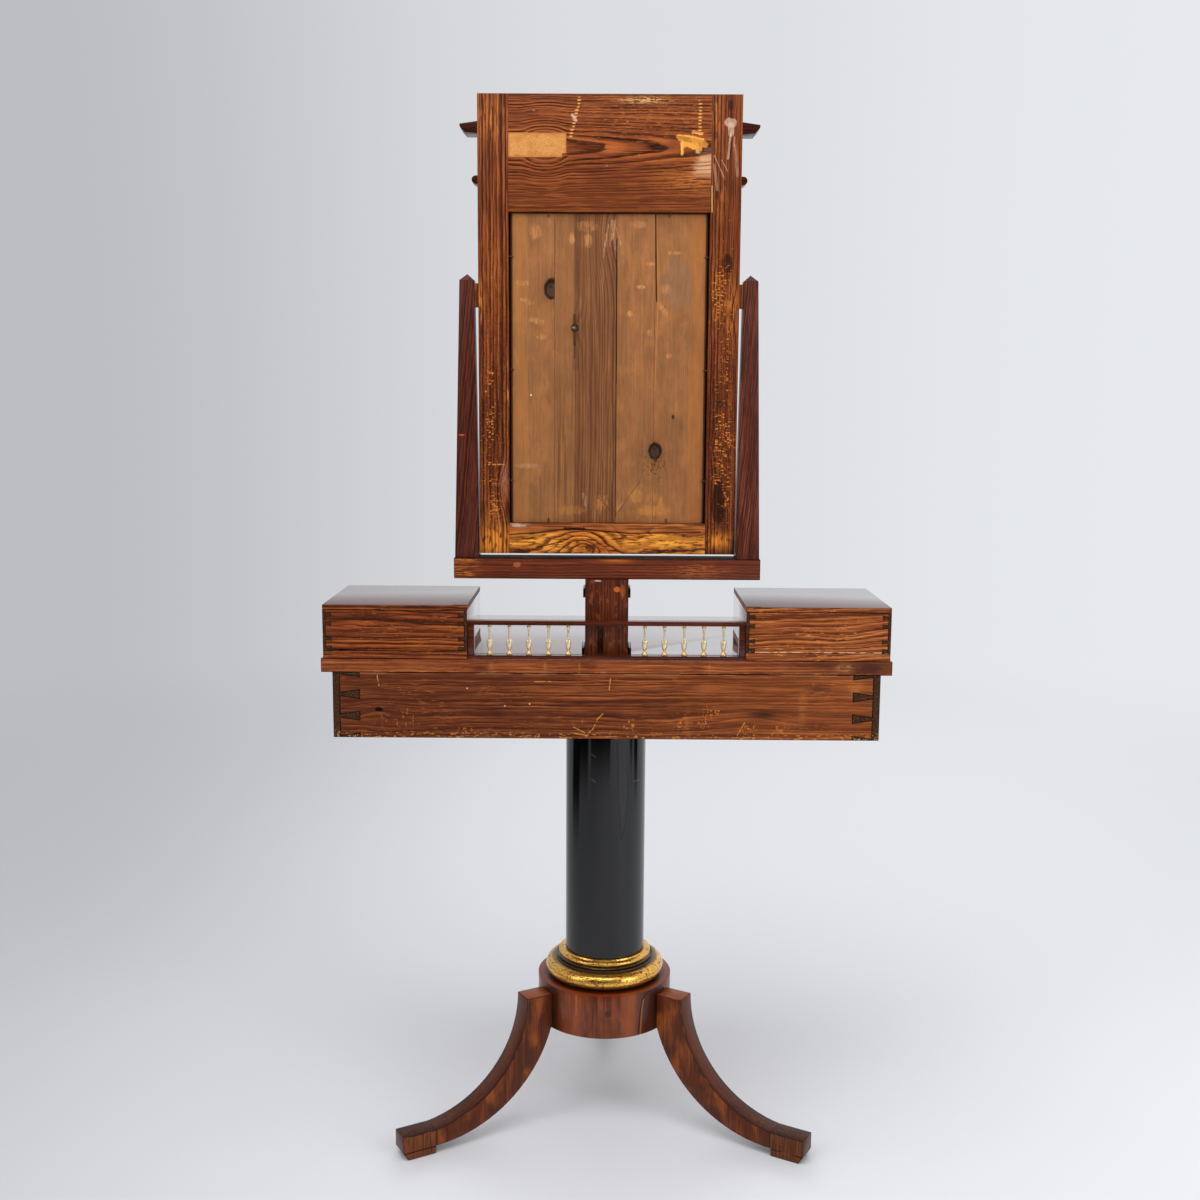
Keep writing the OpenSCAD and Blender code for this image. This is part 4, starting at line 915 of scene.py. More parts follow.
# Dark smudges along the board: place and strength
for smudge_x, smudge_z, smudge_share in ((-0.222, 0.688, 0.8), (-0.062, 0.700, 0.4), (-0.300, 0.724, 0.6),
                                         (0.157, 0.689, 0.5), (0.060, 0.700, 0.3), (-0.292, 0.672, 0.5)):
    smudge = back_wood.spot((smudge_x, smudge_z), (0.020, 0.006))
    back_wood.mark(tone(48, 22, 20), smudge, smudge_share)
chip_band = back_wood.fade(back_wood.point["Z"], case_low.z + 0.014, case_low.z + 0.001)
flecks(back_wood, tone(228, 144, 62), (0.006, 0.0022, 0.01), chip_band, share=0.95, seed=11.0, least=0.57)
# A pale line under the table top, where the polish has come off
case_lip = back_wood.fade(back_wood.point["Z"], case_high.z - 0.0016, case_high.z - 0.0008)
lip_torn = back_wood.patches(0.46, 0.56, (0.05, 0.01, 0.01), 3, 13.0)
back_wood.mark(tone(214, 156, 110), case_lip, lip_torn, 0.8)
# Chips, as ticks and dashes in crooked rows: middle, half sizes and how many
chipped = 0.0
for chip_at, chip_size, chip_share in (
        ((-0.034, 0.669), (0.014, 0.010), 0.55), ((-0.108, 0.676), (0.012, 0.014), 0.50),
        ((-0.150, 0.690), (0.012, 0.010), 0.60), ((-0.138, 0.676), (0.012, 0.016), 0.45),
        ((-0.205, 0.670), (0.016, 0.010), 0.45), ((-0.240, 0.664), (0.014, 0.008), 0.55),
        ((0.200, 0.660), (0.010, 0.008), 0.60), ((0.285, 0.676), (0.05, 0.026), 0.26),
        ((0.030, 0.674), (0.02, 0.014), 0.25)):
    cluster = back_wood.times(back_wood.spot(chip_at, chip_size), chip_share)
    chipped = back_wood.sum("MAXIMUM", chipped, cluster)
chips(back_wood, tone(218, 128, 54), back_wood.times(chipped, 0.75), share=0.8, cell=(0.0020, 0.0058),
      seed=85.0)
chips(back_wood, tone(226, 138, 60), back_wood.times(chipped, 0.6), share=0.8, cell=(0.0050, 0.0020),
      seed=86.0)
rubbed = back_wood.patches(0.52, 0.68, (0.08, 0.03, 0.05), 1, 17.0)
flecks(back_wood, tone(196, 116, 54), (0.014, 0.0012, 0.01), rubbed, share=0.55, seed=19.0, least=0.6)
# Soft rubbed bars up the board, and a paler place beside the dovetails
rub_streaks = back_wood.patches(0.34, 0.60, (0.012, 0.0030, 0.01), 3, 87.0)
for bar_x, bar_z, bar_half, bar_tall in ((-0.116, 0.671, 0.004, 0.018), (-0.277, 0.700, 0.005, 0.022),
                                         (-0.352, 0.726, 0.012, 0.010)):
    bar_rub = back_wood.spot((bar_x, bar_z), (bar_half, bar_tall))
    back_wood.mark(tone(200, 120, 58), bar_rub, rub_streaks, 0.45)
for speck in ((0.196, 0.723), (0.143, 0.698), (0.108, 0.701)):
    back_wood.paint(back_wood.spot(speck, (0.0014, 0.0012), 0.2, 3.0), tone(216, 180, 150))
scratches = [[(0.323, 0.741), (0.3205, 0.726)], [(-0.006, 0.738), (-0.004, 0.722)],
             [(0.078, 0.7335), (0.102, 0.733)],
             [(0.004, 0.688), (0.012, 0.680), (0.018, 0.666), (0.028, 0.656), (0.050, 0.660)],
             [(-0.196, 0.676), (-0.186, 0.658)], [(0.030, 0.660), (0.046, 0.668)]]
for scratch in scratches:
    broken = back_wood.patches(0.36, 0.5, (0.004, 0.004, 0.01), 2, 33.0)
    back_wood.mark(tone(224, 148, 64), back_wood.streak(scratch, 0.0009), broken, 0.85)
back_finish = back_wood.close(0.42, back_wood.relief, 0.0002)
joiner_copy("case_back", "case_back_board", "table", back_finish, edge=0.0007)


def veneer(name, ways, seed, coat_ior=1.5, coat=1.0, shine=0.4, shade=0.0):
    """Polished mahogany veneer: ribbon figure, fine pores and a high gloss."""
    finish = Finish(name, tone(108, 44, 24), ways)
    ribbon = finish.cloud((0.5, 0.02, 0.02), 3, seed)
    finish.paint(finish.fade(ribbon, 0.4, 0.66), tone(138, 62, 32))
    flame = finish.cloud((0.09, 0.05, 0.05), 3, seed + 2)
    finish.mark(tone(76, 28, 16), finish.fade(flame, 0.5, 0.75), 0.5)
    if shade:
        finish.paint(shade, tone(56, 28, 20))
    pores = finish.cloud((0.012, 0.0005, 0.0005), 2, seed + 5)
    finish.mark(tone(46, 17, 10), finish.fade(pores, 0.56, 0.75), 0.55)
    gloss = finish.sum("MULTIPLY_ADD", ribbon, 0.08, 0.1)
    return finish.close(gloss, pores, 0.00003, shine=shine, coat=coat, coat_roughness=0.03,
                        coat_ior=coat_ior)


def reface(piece, material, way, least=0.9):
    """Gives the faces that look towards way a second finish."""
    piece.data.materials.append(material)
    last = len(piece.data.materials) - 1
    for face in piece.data.polygons:
        if face.normal.dot(Vector(way)) > least:
            face.material_index = last


side_wood = wood("case_side_wood", "YZX", case_pale, case_middle, case_dark, ring=0.004, lines=0.6,
                 heart=0.95, depth=-0.32, wave=0.01)
side_facing = side_wood.fade(side_wood.facing["Y"], 0.6, 0.9)
side_wood.mark(tone(52, 34, 20), side_facing, 0.95)
end_specks = side_wood.patches(0.5, 0.68, (0.02, 0.0016, 0.0022), 3, 23.0)
side_wood.mark(tone(112, 80, 46), side_facing, end_specks, 0.6)
end_chips = side_wood.patches(0.52, 0.6, (0.02, 0.003, 0.003), 3, 27.0)
end_low = side_wood.fade(side_wood.point["Z"], case_low.z + 0.016, case_low.z + 0.002)
side_wood.mark(tone(196, 160, 112), side_facing, end_chips, end_low, 0.8)
side_finish = side_wood.close(0.4, side_wood.relief, 0.0002)
upright_veneer = veneer("upright_front_veneer", "ZXY", seed=15.0)
for side in ("left", "right"):
    board = joiner_copy(f"case_{side}_side", f"case_{side}_board", "table", side_finish,
                        edge=0.0006)
    reface(board, upright_veneer, (0, -1, 0))

bottom_wood = wood("case_bottom_wood", "XYZ", tone(156, 100, 62), tone(128, 76, 46), tone(74, 40, 24),
                   ring=0.005, heart=0.02, depth=-0.6, lean=0.03, wave=0.03)
bottom_finish = bottom_wood.close(0.65, bottom_wood.relief, 0.0002)
joiner_copy("case_bottom", "case_bottom_board", "table", bottom_finish, edge=0.0008)


# Table top
# A board veneered above in mahogany and polished, with its plain back edge left towards the wall.
top_edge = wood("top_edge_wood", "XZY", tone(188, 108, 58), tone(148, 78, 42), tone(70, 28, 15),
                ring=0.0040, lines=0.5, stain=0.35, streaks=0.25, heart=0.95, depth=0.0, wave=0.01)
top_low, top_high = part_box("table_top")
top_dark = top_edge.patches(0.55, 0.72, (0.05, 0.02, 0.02), 3, 21.0)
top_edge.mark(tone(76, 34, 20), top_dark, 0.6)
top_edge.mark(tone(86, 44, 28), top_edge.fade(top_edge.point["X"], -0.22, -0.36), 0.55)
# Rubbed bars across the edge: place and half width
for mark, mark_half in ((0.1623, 0.0040), (0.0864, 0.0022), (-0.1450, 0.0012), (0.0380, 0.0012)):
    mark_bar = top_edge.spot((mark, (top_low.z + top_high.z) / 2), (mark_half, 0.006))
    top_edge.mark(tone(196, 122, 62), mark_bar, 0.4)
# Old stains and a little knot near the photograph's right-hand end
for stain_at, stain_size, stain_share in (((0.178, 0.753), (0.014, 0.007), 0.6),
                                          ((-0.300, 0.758), (0.040, 0.004), 0.6),
                                          ((-0.372, 0.755), (0.024, 0.008), 0.5),
                                          ((-0.205, 0.7472), (0.05, 0.0016), 0.7)):
    top_edge.mark(tone(46, 22, 16), top_edge.spot(stain_at, stain_size), stain_share)
top_torn = top_edge.patches(0.40, 0.56, (0.010, 0.0024, 0.01), 3, 43.0)
top_edge.mark(tone(206, 140, 78), top_edge.spot((-0.335, 0.755), (0.010, 0.005)), top_torn, 0.7)
top_below = top_edge.fade(top_edge.point["Z"], 0.749, 0.746)
flecks(top_edge, tone(216, 144, 76), (0.016, 0.0012, 0.01), top_below, share=0.6, seed=12.0, least=0.56)
top_edge_finish = top_edge.close(0.38, top_edge.relief, 0.0002)
top_veneer = veneer("top_veneer", "XYZ", seed=3.0, coat_ior=2.5, shine=0.8)
table_board = joiner_copy("table_top", "table_top_board", "table", top_edge_finish, edge=0.0010)
for way in ((0, 0, 1), (0, -1, 0), (1, 0, 0), (-1, 0, 0)):
    reface(table_board, top_veneer, way)


# Large drawer
# A mahogany-veneered front on pine sides, back and bottom, dovetailed, with two turned brass knobs.
front_veneer = veneer("front_veneer", "XZY", seed=6.0)
joiner_copy("drawer_front", "large_drawer_front", "large_drawer", front_veneer, edge=0.001)

lining = wood("drawer_lining", "YZX", tone(206, 160, 108), tone(188, 138, 88), tone(140, 92, 54),
              ring=0.004, lines=0.6, heart=0.7, depth=0.4, wave=0.02)
lining_finish = lining.close(0.6, lining.fibre, 0.0002)
cross_lining = wood("drawer_cross_lining", "XZY", tone(206, 160, 108), tone(188, 138, 88),
                    tone(140, 92, 54), ring=0.004, lines=0.6, heart=0.7, depth=0.3, wave=0.02)
cross_lining_finish = cross_lining.close(0.6, cross_lining.fibre, 0.0002)
flat_lining = wood("drawer_flat_lining", "XYZ", tone(200, 152, 100), tone(180, 130, 82), tone(136, 90, 54),
                   ring=0.006, lines=0.6, heart=0.02, depth=-0.66, lean=0.03, wave=0.03)
flat_lining_finish = flat_lining.close(0.6, flat_lining.fibre, 0.0002)
for side in ("left", "right"):
    joiner_copy(f"drawer_{side}_side", f"large_drawer_{side}_side", "large_drawer",
                lining_finish)
joiner_copy("drawer_back", "large_drawer_back", "large_drawer", cross_lining_finish)
joiner_copy("drawer_bottom", "large_drawer_bottom", "large_drawer", flat_lining_finish)

brass = Finish("brass", tone(232, 190, 112), "XYZ")
brass.mark(tone(170, 116, 50), brass.patches(0.5, 0.75, (0.006, 0.006, 0.006), 3), 0.5)
brass_finish = brass.close(0.2, brass.cloud((0.002, 0.002, 0.002), 2), 0.00005, metal=1.0)
knob_sides = 48


def brass_knob(name, node, body, places, size, shank):
    """Turned knobs: a rose against the wood, a slim neck and a domed face. Places are on the drawer front."""
    half = size / 2
    # From the pin over the rose and the neck to the rim, and in across the face
    outline = [(shank / 2, -size * 0.55), (shank / 2, 0), (half * 0.62, 0), (half * 0.64, size * 0.04)]
    outline += [(half * 0.56, size * 0.1), (half * 0.4, size * 0.13), (half * 0.34, size * 0.24)]
    outline += [(half * 0.42, size * 0.32), (half * 0.62, size * 0.38)]
    outline += bow((half * 0.72, size * 0.56), half * 0.28, -60, 60, 8)
    outline += [(half * 0.72, size * 0.75), (half * 0.5, size * 0.82), (half * 0.26, size * 0.86)]
    outline += [(half * 0.05, size * 0.875)]
    knobs = []
    for spot in places:
        knob = turned(name, outline, (0, 0), knob_sides)
        knob.rotation_euler = (math.pi / 2, 0, 0)
        knob.location = spot
        bpy.ops.object.transform_apply(location=True, rotation=True, scale=True)
        knobs.append(knob)
    start()
    for knob in knobs:
        knob.select_set(True)
    bpy.context.view_layer.objects.active = knobs[0]
    if len(knobs) > 1:
        bpy.ops.object.join()
    knobs[0].name = name
    knobs[0].data.materials.append(brass_finish)
    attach(knobs[0], body)
    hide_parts(node)


large_knob = 0.026
large_shank = 0.006
front_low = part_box("drawer_front")[0]
knob_low, knob_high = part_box("drawer_knobs")
knob_middle = (knob_low.z + knob_high.z) / 2
knob_reach = knob_high.x - large_knob / 2
knob_places = [(side * knob_reach, front_low.y, knob_middle) for side in (-1, 1)]
brass_knob("large_drawer_knobs", "drawer_knobs", "large_drawer", knob_places, large_knob, large_shank)


# Boxes
# Two small boxes with a drawer each: dovetailed pine backs, veneered sides and tops, polished.
box_veneer = veneer("box_veneer", "YZX", seed=9.0)
box_top_veneer = veneer("box_top_veneer", "XYZ", seed=12.0, coat_ior=1.42, coat=0.7, shine=0.3, shade=0.6)
# Each box: its back's tones, the log that it was sawn from, how rubbed it is, and whether its joint is pale
box_backs = {"right": dict(pale=tone(188, 100, 44), middle=tone(124, 58, 29), dark=tone(36, 12, 5),
                           slope=-0.01, rubbed=0.35, humps=[((0.36, 0.825), (0.10, 0.014), 0.005)],
                           joint=0.0),
             "left": dict(pale=tone(222, 136, 68), middle=tone(152, 78, 41), dark=tone(56, 21, 10),
                          slope=0.06, rubbed=0.8, humps=[((-0.33, 0.80), (0.05, 0.02), -0.005)],
                          joint=0.9)}
for side, look in box_backs.items():
    box_wood = wood(f"{side}_box_back_wood", "XZY", look["pale"], look["middle"], look["dark"], ring=0.0046,
                    lines=0.9, stain=0.2, streaks=0.4, heart=1.1, depth=0.0, slope=look["slope"],
                    wave=0.012, humps=look["humps"])
    box_places = box_wood.patches(0.46, 0.64, (0.05, 0.02, 0.05), 1, 37.0)
    flecks(box_wood, tone(228, 148, 74), (0.010, 0.0014, 0.01), box_places, share=look["rubbed"], seed=31.0,
           least=0.60)
    box_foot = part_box(f"{side}_box_back")[0].z
    foot_line = box_wood.band(box_wood.point["Z"], box_foot + 0.0006, box_foot + 0.0020, 0.0005)
    foot_torn = box_wood.patches(0.42, 0.52, (0.010, 0.002, 0.01), 3, 39.0)
    box_wood.mark(tone(226, 186, 146), foot_line, foot_torn, look["joint"])
    box_finish = box_wood.close(0.42, box_wood.relief, 0.0002)
    joiner_copy(f"{side}_box_back", f"{side}_box_back_board", "table", box_finish,
                edge=0.0006)
    joiner_copy(f"{side}_box_bottom", f"{side}_box_floor", "table", box_finish, edge=0.0005)
    sides = joiner_copy(f"{side}_box_sides", f"{side}_box_side_boards", "table", box_veneer,
                        edge=0.0005)
    reface(sides, side_finish, (0, 1, 0))
    lid = joiner_copy(f"{side}_box_top", f"{side}_box_lid", "table", box_finish, edge=0.0006)
    reface(lid, box_top_veneer, (0, 0, 1))


# Small drawers
# Built like the large one, with one small brass knob each.
# The knob's size, and its shank's thickness
small_knob = 0.017
small_shank = 0.005
for side in ("left", "right"):
    body = f"{side}_drawer"
    node = f"{side}_box_drawer"
    name = f"{side}_small_drawer"
    joiner_copy(f"{node}_front", f"{name}_front", body, front_veneer, edge=0.0008)
    joiner_copy(f"{node}_sides", f"{name}_sides", body, lining_finish, edge=0.0005)
    joiner_copy(f"{node}_back", f"{name}_back", body, cross_lining_finish, edge=0.0005)
    joiner_copy(f"{node}_bottom", f"{name}_bottom", body, flat_lining_finish, edge=0.0004)
    small_low, small_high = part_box(f"{side}_box_knob")
    small_middle = (small_low + small_high) / 2
    small_place = (small_middle.x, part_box(f"{node}_front")[0].y, small_middle.z)
    brass_knob(f"{name}_knob", f"{side}_box_knob", body, [small_place], small_knob, small_shank)


# Gallery
# Ten little brass balusters pegged between two polished rails, closed by a post at each box.
dark_wood = wood("gallery_wood", "XZY", tone(112, 50, 28), tone(80, 33, 18), tone(42, 17, 9), ring=0.005,
                 lines=0.4, heart=0.5, depth=0.3, wave=0.02)
dark_polish = dark_wood.close(0.24, dark_wood.fibre, 0.00008, shine=0.25, coat=0.4, coat_roughness=0.06)
joiner_copy("gallery_base_rail", "gallery_lower_rail", "table", dark_polish, edge=0.0006)
joiner_copy("gallery_top_rail", "gallery_upper_rail", "table", dark_polish, edge=0.0012)
joiner_copy("gallery_end_posts", "gallery_posts", "table", dark_polish, edge=0.0006)

baluster_low, baluster_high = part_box("gallery_balusters")
baluster_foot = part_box("gallery_base_rail")[1].z
baluster_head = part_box("gallery_top_rail")[0].z
baluster_tall = baluster_head - baluster_foot
baluster_girth = (baluster_high.y - baluster_low.y) / 2
baluster_line = (baluster_low.y + baluster_high.y) / 2
baluster_count = 5
baluster_last = baluster_high.x - baluster_girth
baluster_first = 0.054
# Radius as a share of the girth, and height as a share of the whole
baluster_shape = [(0.94, 0.0), (1.0, 0.02), (0.98, 0.05), (0.8, 0.075), (0.55, 0.10), (0.42, 0.135),
                  (0.44, 0.165), (0.62, 0.2), (0.8, 0.26), (0.92, 0.33), (1.0, 0.41), (1.0, 0.46),
                  (0.9, 0.492), (0.62, 0.508), (0.4, 0.525), (0.34, 0.57), (0.32, 0.66), (0.35, 0.76),
                  (0.42, 0.83), (0.36, 0.85), (0.3, 0.865), (0.46, 0.88), (0.66, 0.9), (0.72, 0.925),
                  (0.62, 0.945), (0.44, 0.955), (0.66, 0.965), (0.82, 0.98), (0.82, 1.0)]
baluster_peg = 0.0012
baluster_outline = [(baluster_peg, baluster_low.z), (baluster_peg, baluster_foot)]
for wide, up in baluster_shape:
    baluster_outline.append((wide * baluster_girth, baluster_foot + up * baluster_tall))
baluster_outline += [(baluster_peg, baluster_head), (baluster_peg, baluster_high.z)]
baluster_sides = 24
baluster = turned("balusters", baluster_outline, (0, 0), baluster_sides)
row = [baluster]
baluster_pitch = (baluster_last - baluster_first) / (baluster_count - 1)
for side in (-1, 1):
    for step in range(baluster_count):
        copy = baluster.copy()
        copy.data = baluster.data.copy()
        baluster_out = side * (baluster_first + step * baluster_pitch)
        copy.data.transform(Matrix.Translation((baluster_out, baluster_line, 0)))
        bpy.context.scene.collection.objects.link(copy)
        row.append(copy)
bpy.data.objects.remove(row.pop(0))
start()
for copy in row:
    copy.select_set(True)
bpy.context.view_layer.objects.active = row[0]
bpy.ops.object.join()
balusters = bpy.context.object
balusters.name = "balusters"
# The balusters are coloured a pale cream, a painted highlight over their gold; lower down they are painted
# gold.
gilt_brass = Finish("gilt_brass", tone(255, 240, 200), "ZXY")
gilt_brass_low = gilt_brass.fade(gilt_brass.point["Z"], baluster_foot + 0.017, baluster_foot + 0.006)
gilt_brass.mark(tone(226, 168, 72), gilt_brass_low, 0.6)
gilt_brass_worn = gilt_brass.patches(0.52, 0.7, (0.004, 0.002, 0.002), 3, 4.0)
gilt_brass.mark(tone(206, 146, 58), gilt_brass_worn, 0.6)
balusters.data.materials.append(gilt_brass.close(0.3, shine=0.5, metal=0.55))
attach(balusters, "table")
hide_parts("gallery_balusters")


# Centre post
# It stands in the table top on a through tenon and carries the crossbar. Two ebonised bands
# go round its front and sides, and a slot is cut in its back.
post_wood = wood("post_wood", "ZXY", tone(132, 62, 28), tone(88, 39, 19), tone(32, 11, 5), ring=0.004,
                 lines=0.6, heart=0.3, depth=0.0, wave=0.01)
post_rubs = post_wood.patches(0.54, 0.7, (0.012, 0.006, 0.02), 3, 41.0)
post_wood.mark(tone(160, 80, 36), post_rubs, 0.5)
post_wood.mark(tone(206, 108, 42), post_wood.spot((0.862, -0.014), (0.0045, 0.0050), 0.3, 2.0), 0.75)
post_wood.mark(tone(176, 88, 38), post_wood.spot((0.860, -0.022), (0.010, 0.0035), 0.3, 2.0), 0.5)
# A small purple-white mark near the post's top is a painted highlight.
post_wood.mark(tone(196, 170, 178), post_wood.spot((0.874, 0.013), (0.0014, 0.006), 0.2, 2.0), 0.8)
post_finish = post_wood.close(0.36, post_wood.relief, 0.00015, shine=0.2)
joiner_copy("mirror_post", "centre_post", "table", post_finish, edge=0.0008)
joiner_copy("post_plinth", "post_plinth_band", "table", ebonised_finish, edge=0.0008)
joiner_copy("post_neck_band", "post_collar_band", "table", ebonised_finish, edge=0.0008)


# Crossbar and uprights
# The crossbar sits on the post, and two tapered uprights with pyramid tips are tenoned into it.
bar_wood = wood("bar_wood", "XZY", tone(142, 68, 34), tone(100, 44, 25), tone(46, 16, 8), ring=0.0032,
                lines=0.65, heart=1.2, depth=0.0, wave=0.01)
bar_wood.mark(tone(166, 96, 54), bar_wood.spot((0.127, 0.896), (0.006, 0.004), 0.3, 2.0), 0.7)
bar_wood.mark(tone(190, 100, 34), bar_wood.spot((-0.012, 0.903), (0.020, 0.003)), 0.8)
bar_left = bar_wood.fade(bar_wood.point["X"], 0.172, 0.200)
flecks(bar_wood, tone(204, 118, 48), (0.030, 0.0014, 0.01), bar_left, share=0.8, seed=43.0, least=0.50)
bar_right = bar_wood.spot((-0.13, 0.888), (0.03, 0.008))
flecks(bar_wood, tone(206, 118, 66), (0.020, 0.0012, 0.01), bar_right, share=0.8, seed=45.0, least=0.5)
bar_finish = bar_wood.close(0.38, bar_wood.relief, 0.00015, shine=0.15)
# The crossbar's top face is painted near black, with browner patches.
bar_top_dark = Finish("bar_top_darkened", tone(36, 19, 13))
bar_top_dark.paint(bar_top_dark.patches(0.42, 0.66, (0.05, 0.01, 0.01), 3), tone(70, 36, 22))
crossbar = joiner_copy("crossbar", "stand_crossbar", "table", bar_finish, edge=0.0009)
reface(crossbar, bar_top_dark.close(0.6, shine=0.1), (0, 0, 1))

for side, pale in (("left", tone(142, 74, 54)), ("right", tone(112, 48, 28))):
    upright_wood = wood(f"{side}_upright_wood", "ZXY", pale, tone(92, 42, 28), tone(36, 12, 8), ring=0.0036,
                        lines=0.85, heart=0.6, depth=0.0, wave=0.016, slope=0.10)
    upright_dark = upright_wood.patches(0.48, 0.62, (0.035, 0.0045, 0.01), 3, 101.0)
    upright_wood.mark(tone(46, 18, 14), upright_dark, 0.45)
    upright_wood.paint(upright_wood.spot((1.077, 0.204), (0.0012, 0.005), 0.2, 3.0), tone(206, 84, 28))
    upright_finish = upright_wood.close(0.34, upright_wood.relief, 0.00015, shine=0.2)
    joiner_copy(f"{side}_upright", f"{side}_obelisk", "table", upright_finish, edge=0.0009)

spacer_wood = wood("spacer_wood", "ZXY", tone(196, 128, 74), tone(160, 92, 50), tone(96, 50, 26),
                   ring=0.003, heart=0.15, depth=0.1)
spacer_finish = spacer_wood.close(0.5, spacer_wood.fibre, 0.0002)
joiner_copy("pivot_spacers", "spacer_blocks", "table", spacer_finish, edge=0.0006)


# Mirror frame
# Two through stiles and two rails in stained pine, tenoned, and veneered on their fronts. Behind, the
# stain has worn off the high spots.
def ladder(finish, places, width, pitch, colour, share=0.9, seed=24.0):
    """Short scuffs, one above the other, along a line."""
    rungs = finish.fade(finish.sum("SINE", finish.times(finish.point["Z"], math.tau / pitch)), -0.1, 0.5)
    broken = finish.patches(0.36, 0.46, (0.006, 0.004, 0.01), 2, seed)
    finish.mark(colour, finish.streak(places, width), rungs, broken, share)


def knot(finish, at, size, core, rim, shade=0.4, where=1.0):
    """A knot: a dark rim round a paler core, a crack in it, and a shadow about it."""
    wide = (size[0] * 1.9, size[1] * 1.7)
    finish.mark(rim, finish.spot(at, wide), shade, where)
    finish.mark(rim, finish.spot(at, size, 0.14, 5.0), where)
    small = (size[0] * 0.66, size[1] * 0.66)
    finish.mark(core, finish.spot((at[0] - size[0] * 0.1, at[1]), small, 0.10, 6.0), 0.75, where)
    pith = (at[0] + size[0] * 0.2, at[1] + size[1] * 0.1)
    finish.mark(rim, finish.spot(pith, (size[0] * 0.14, size[1] * 0.14)), where)


rail_wood = wood("top_rail_wood", "XZY", tone(190, 102, 48), tone(128, 63, 33), tone(34, 11, 5),
                 ring=0.0042, lines=0.95, stain=0.15, heart=1.4655, depth=-0.2428, lean=0.05, wave=0.006,
                 ripple=0.5, eye=(0.088, 0.67, 0.018), slope=0.01)
rail_plain = rail_wood.fade(rail_wood.point["Z"], 1.432, 1.400)
rail_wood.mark(tone(138, 72, 38), rail_plain, 0.45)
rail_fine = rail_wood.patches(0.46, 0.60, (0.35, 0.0026, 0.01), 2, 13.0)
rail_wood.mark(tone(70, 30, 15), rail_fine, rail_plain, 0.6)
rail_lights = rail_wood.patches(0.54, 0.66, (0.05, 0.0026, 0.01), 3, 14.0)
rail_wood.mark(tone(190, 106, 52), rail_lights, 0.35)
# A worn patch in two bands with a run and a lobe: each stroke's places, half width and tone
early_share = rail_wood.sum("MULTIPLY_ADD", rail_wood.late, -0.7, 1.0)
for stroke, half, stroke_tone in (
        ([(-0.0945, 1.4795), (-0.1080, 1.4785), (-0.1240, 1.4755)], 0.0042, tone(250, 172, 74)),
        ([(-0.1150, 1.4765), (-0.1290, 1.4710)], 0.0050, tone(248, 168, 68)),
        ([(-0.1000, 1.4715), (-0.1120, 1.4690), (-0.1220, 1.4650)], 0.0044, tone(244, 164, 68)),
        ([(-0.0980, 1.4735), (-0.0985, 1.4570)], 0.0020, tone(250, 180, 84)),
        ([(-0.1130, 1.4870), (-0.1250, 1.4845)], 0.0024, tone(244, 168, 80)),
        ([(-0.1185, 1.4610), (-0.1210, 1.4600)], 0.0022, tone(246, 206, 150))):
    rubbed_off = rail_wood.streak(stroke, half, 0.45, 3.0)
    rail_wood.mark(stroke_tone, rubbed_off, early_share)
rail_wood.mark(tone(104, 78, 76), rail_wood.spot((-0.1335, 1.4640), (0.006, 0.0035), 0.3, 5.0), 0.7)
# A milky bloom against the stile, cut by the dark lines
bloom_low = rail_wood.sum("MULTIPLY_ADD", rail_wood.point["Z"], 0.35, -0.35 * 1.4400)
bloom_edge = rail_wood.sum("ADD", rail_wood.point["X"], bloom_low)
bloom_torn = rail_wood.sum("MULTIPLY_ADD", rail_wood.cloud((0.010, 0.004, 0.01), 3, 27.0), 0.024, -0.012)
bloom = rail_wood.fade(rail_wood.sum("ADD", bloom_edge, bloom_torn), -0.1090, -0.1240)
bloom_rows = rail_wood.band(rail_wood.point["Z"], 1.4300, 1.4560, 0.007)
rail_wood.mark(tone(234, 182, 140), bloom, bloom_rows, early_share, 0.85)
for nick in ((0.103, 1.514), (0.0744, 1.481), (0.0036, 1.442), (-0.040, 1.456), (-0.024, 1.500)):
    rail_wood.mark(tone(196, 146, 104), rail_wood.spot(nick, (0.0018, 0.0012), 0.3, 2.0), 0.5)
streaky = rail_wood.spot((-0.06, 1.505), (0.13, 0.035))
flecks(rail_wood, tone(214, 130, 60), (0.012, 0.0012, 0.01), streaky, share=0.6, seed=15.0, least=0.58)
gold_end = rail_wood.spot((-0.115, 1.425), (0.040, 0.020))
flecks(rail_wood, tone(212, 128, 56), (0.030, 0.0015, 0.01), gold_end, share=0.8, seed=29.0, least=0.48)
flecks(rail_wood, tone(240, 190, 120), (0.010, 0.0016, 0.01),
       rail_wood.spot((-0.048, 1.528), (0.03, 0.004)), share=0.9, seed=30.0, least=0.46)
for scuffs in ([(0.053, 1.481), (0.041, 1.530)], [(-0.122, 1.487), (-0.1225, 1.528)]):
    ladder(rail_wood, scuffs, 0.0032, 0.0043, tone(240, 172, 90), share=0.95)
rail_scrape = rail_wood.streak([(0.0510, 1.5080), (0.0460, 1.5010)], 0.0022, 0.3, 6.0)
rail_wood.mark(tone(224, 196, 180), rail_scrape, 0.6)
rail_finish = rail_wood.close(0.42, rail_wood.relief, 0.0002)
top_rail = joiner_copy("mirror_top_rail", "frame_top_rail", "mirror", rail_finish,
                       edge=0.0012)
reface(top_rail, front_veneer, (0, -1, 0))

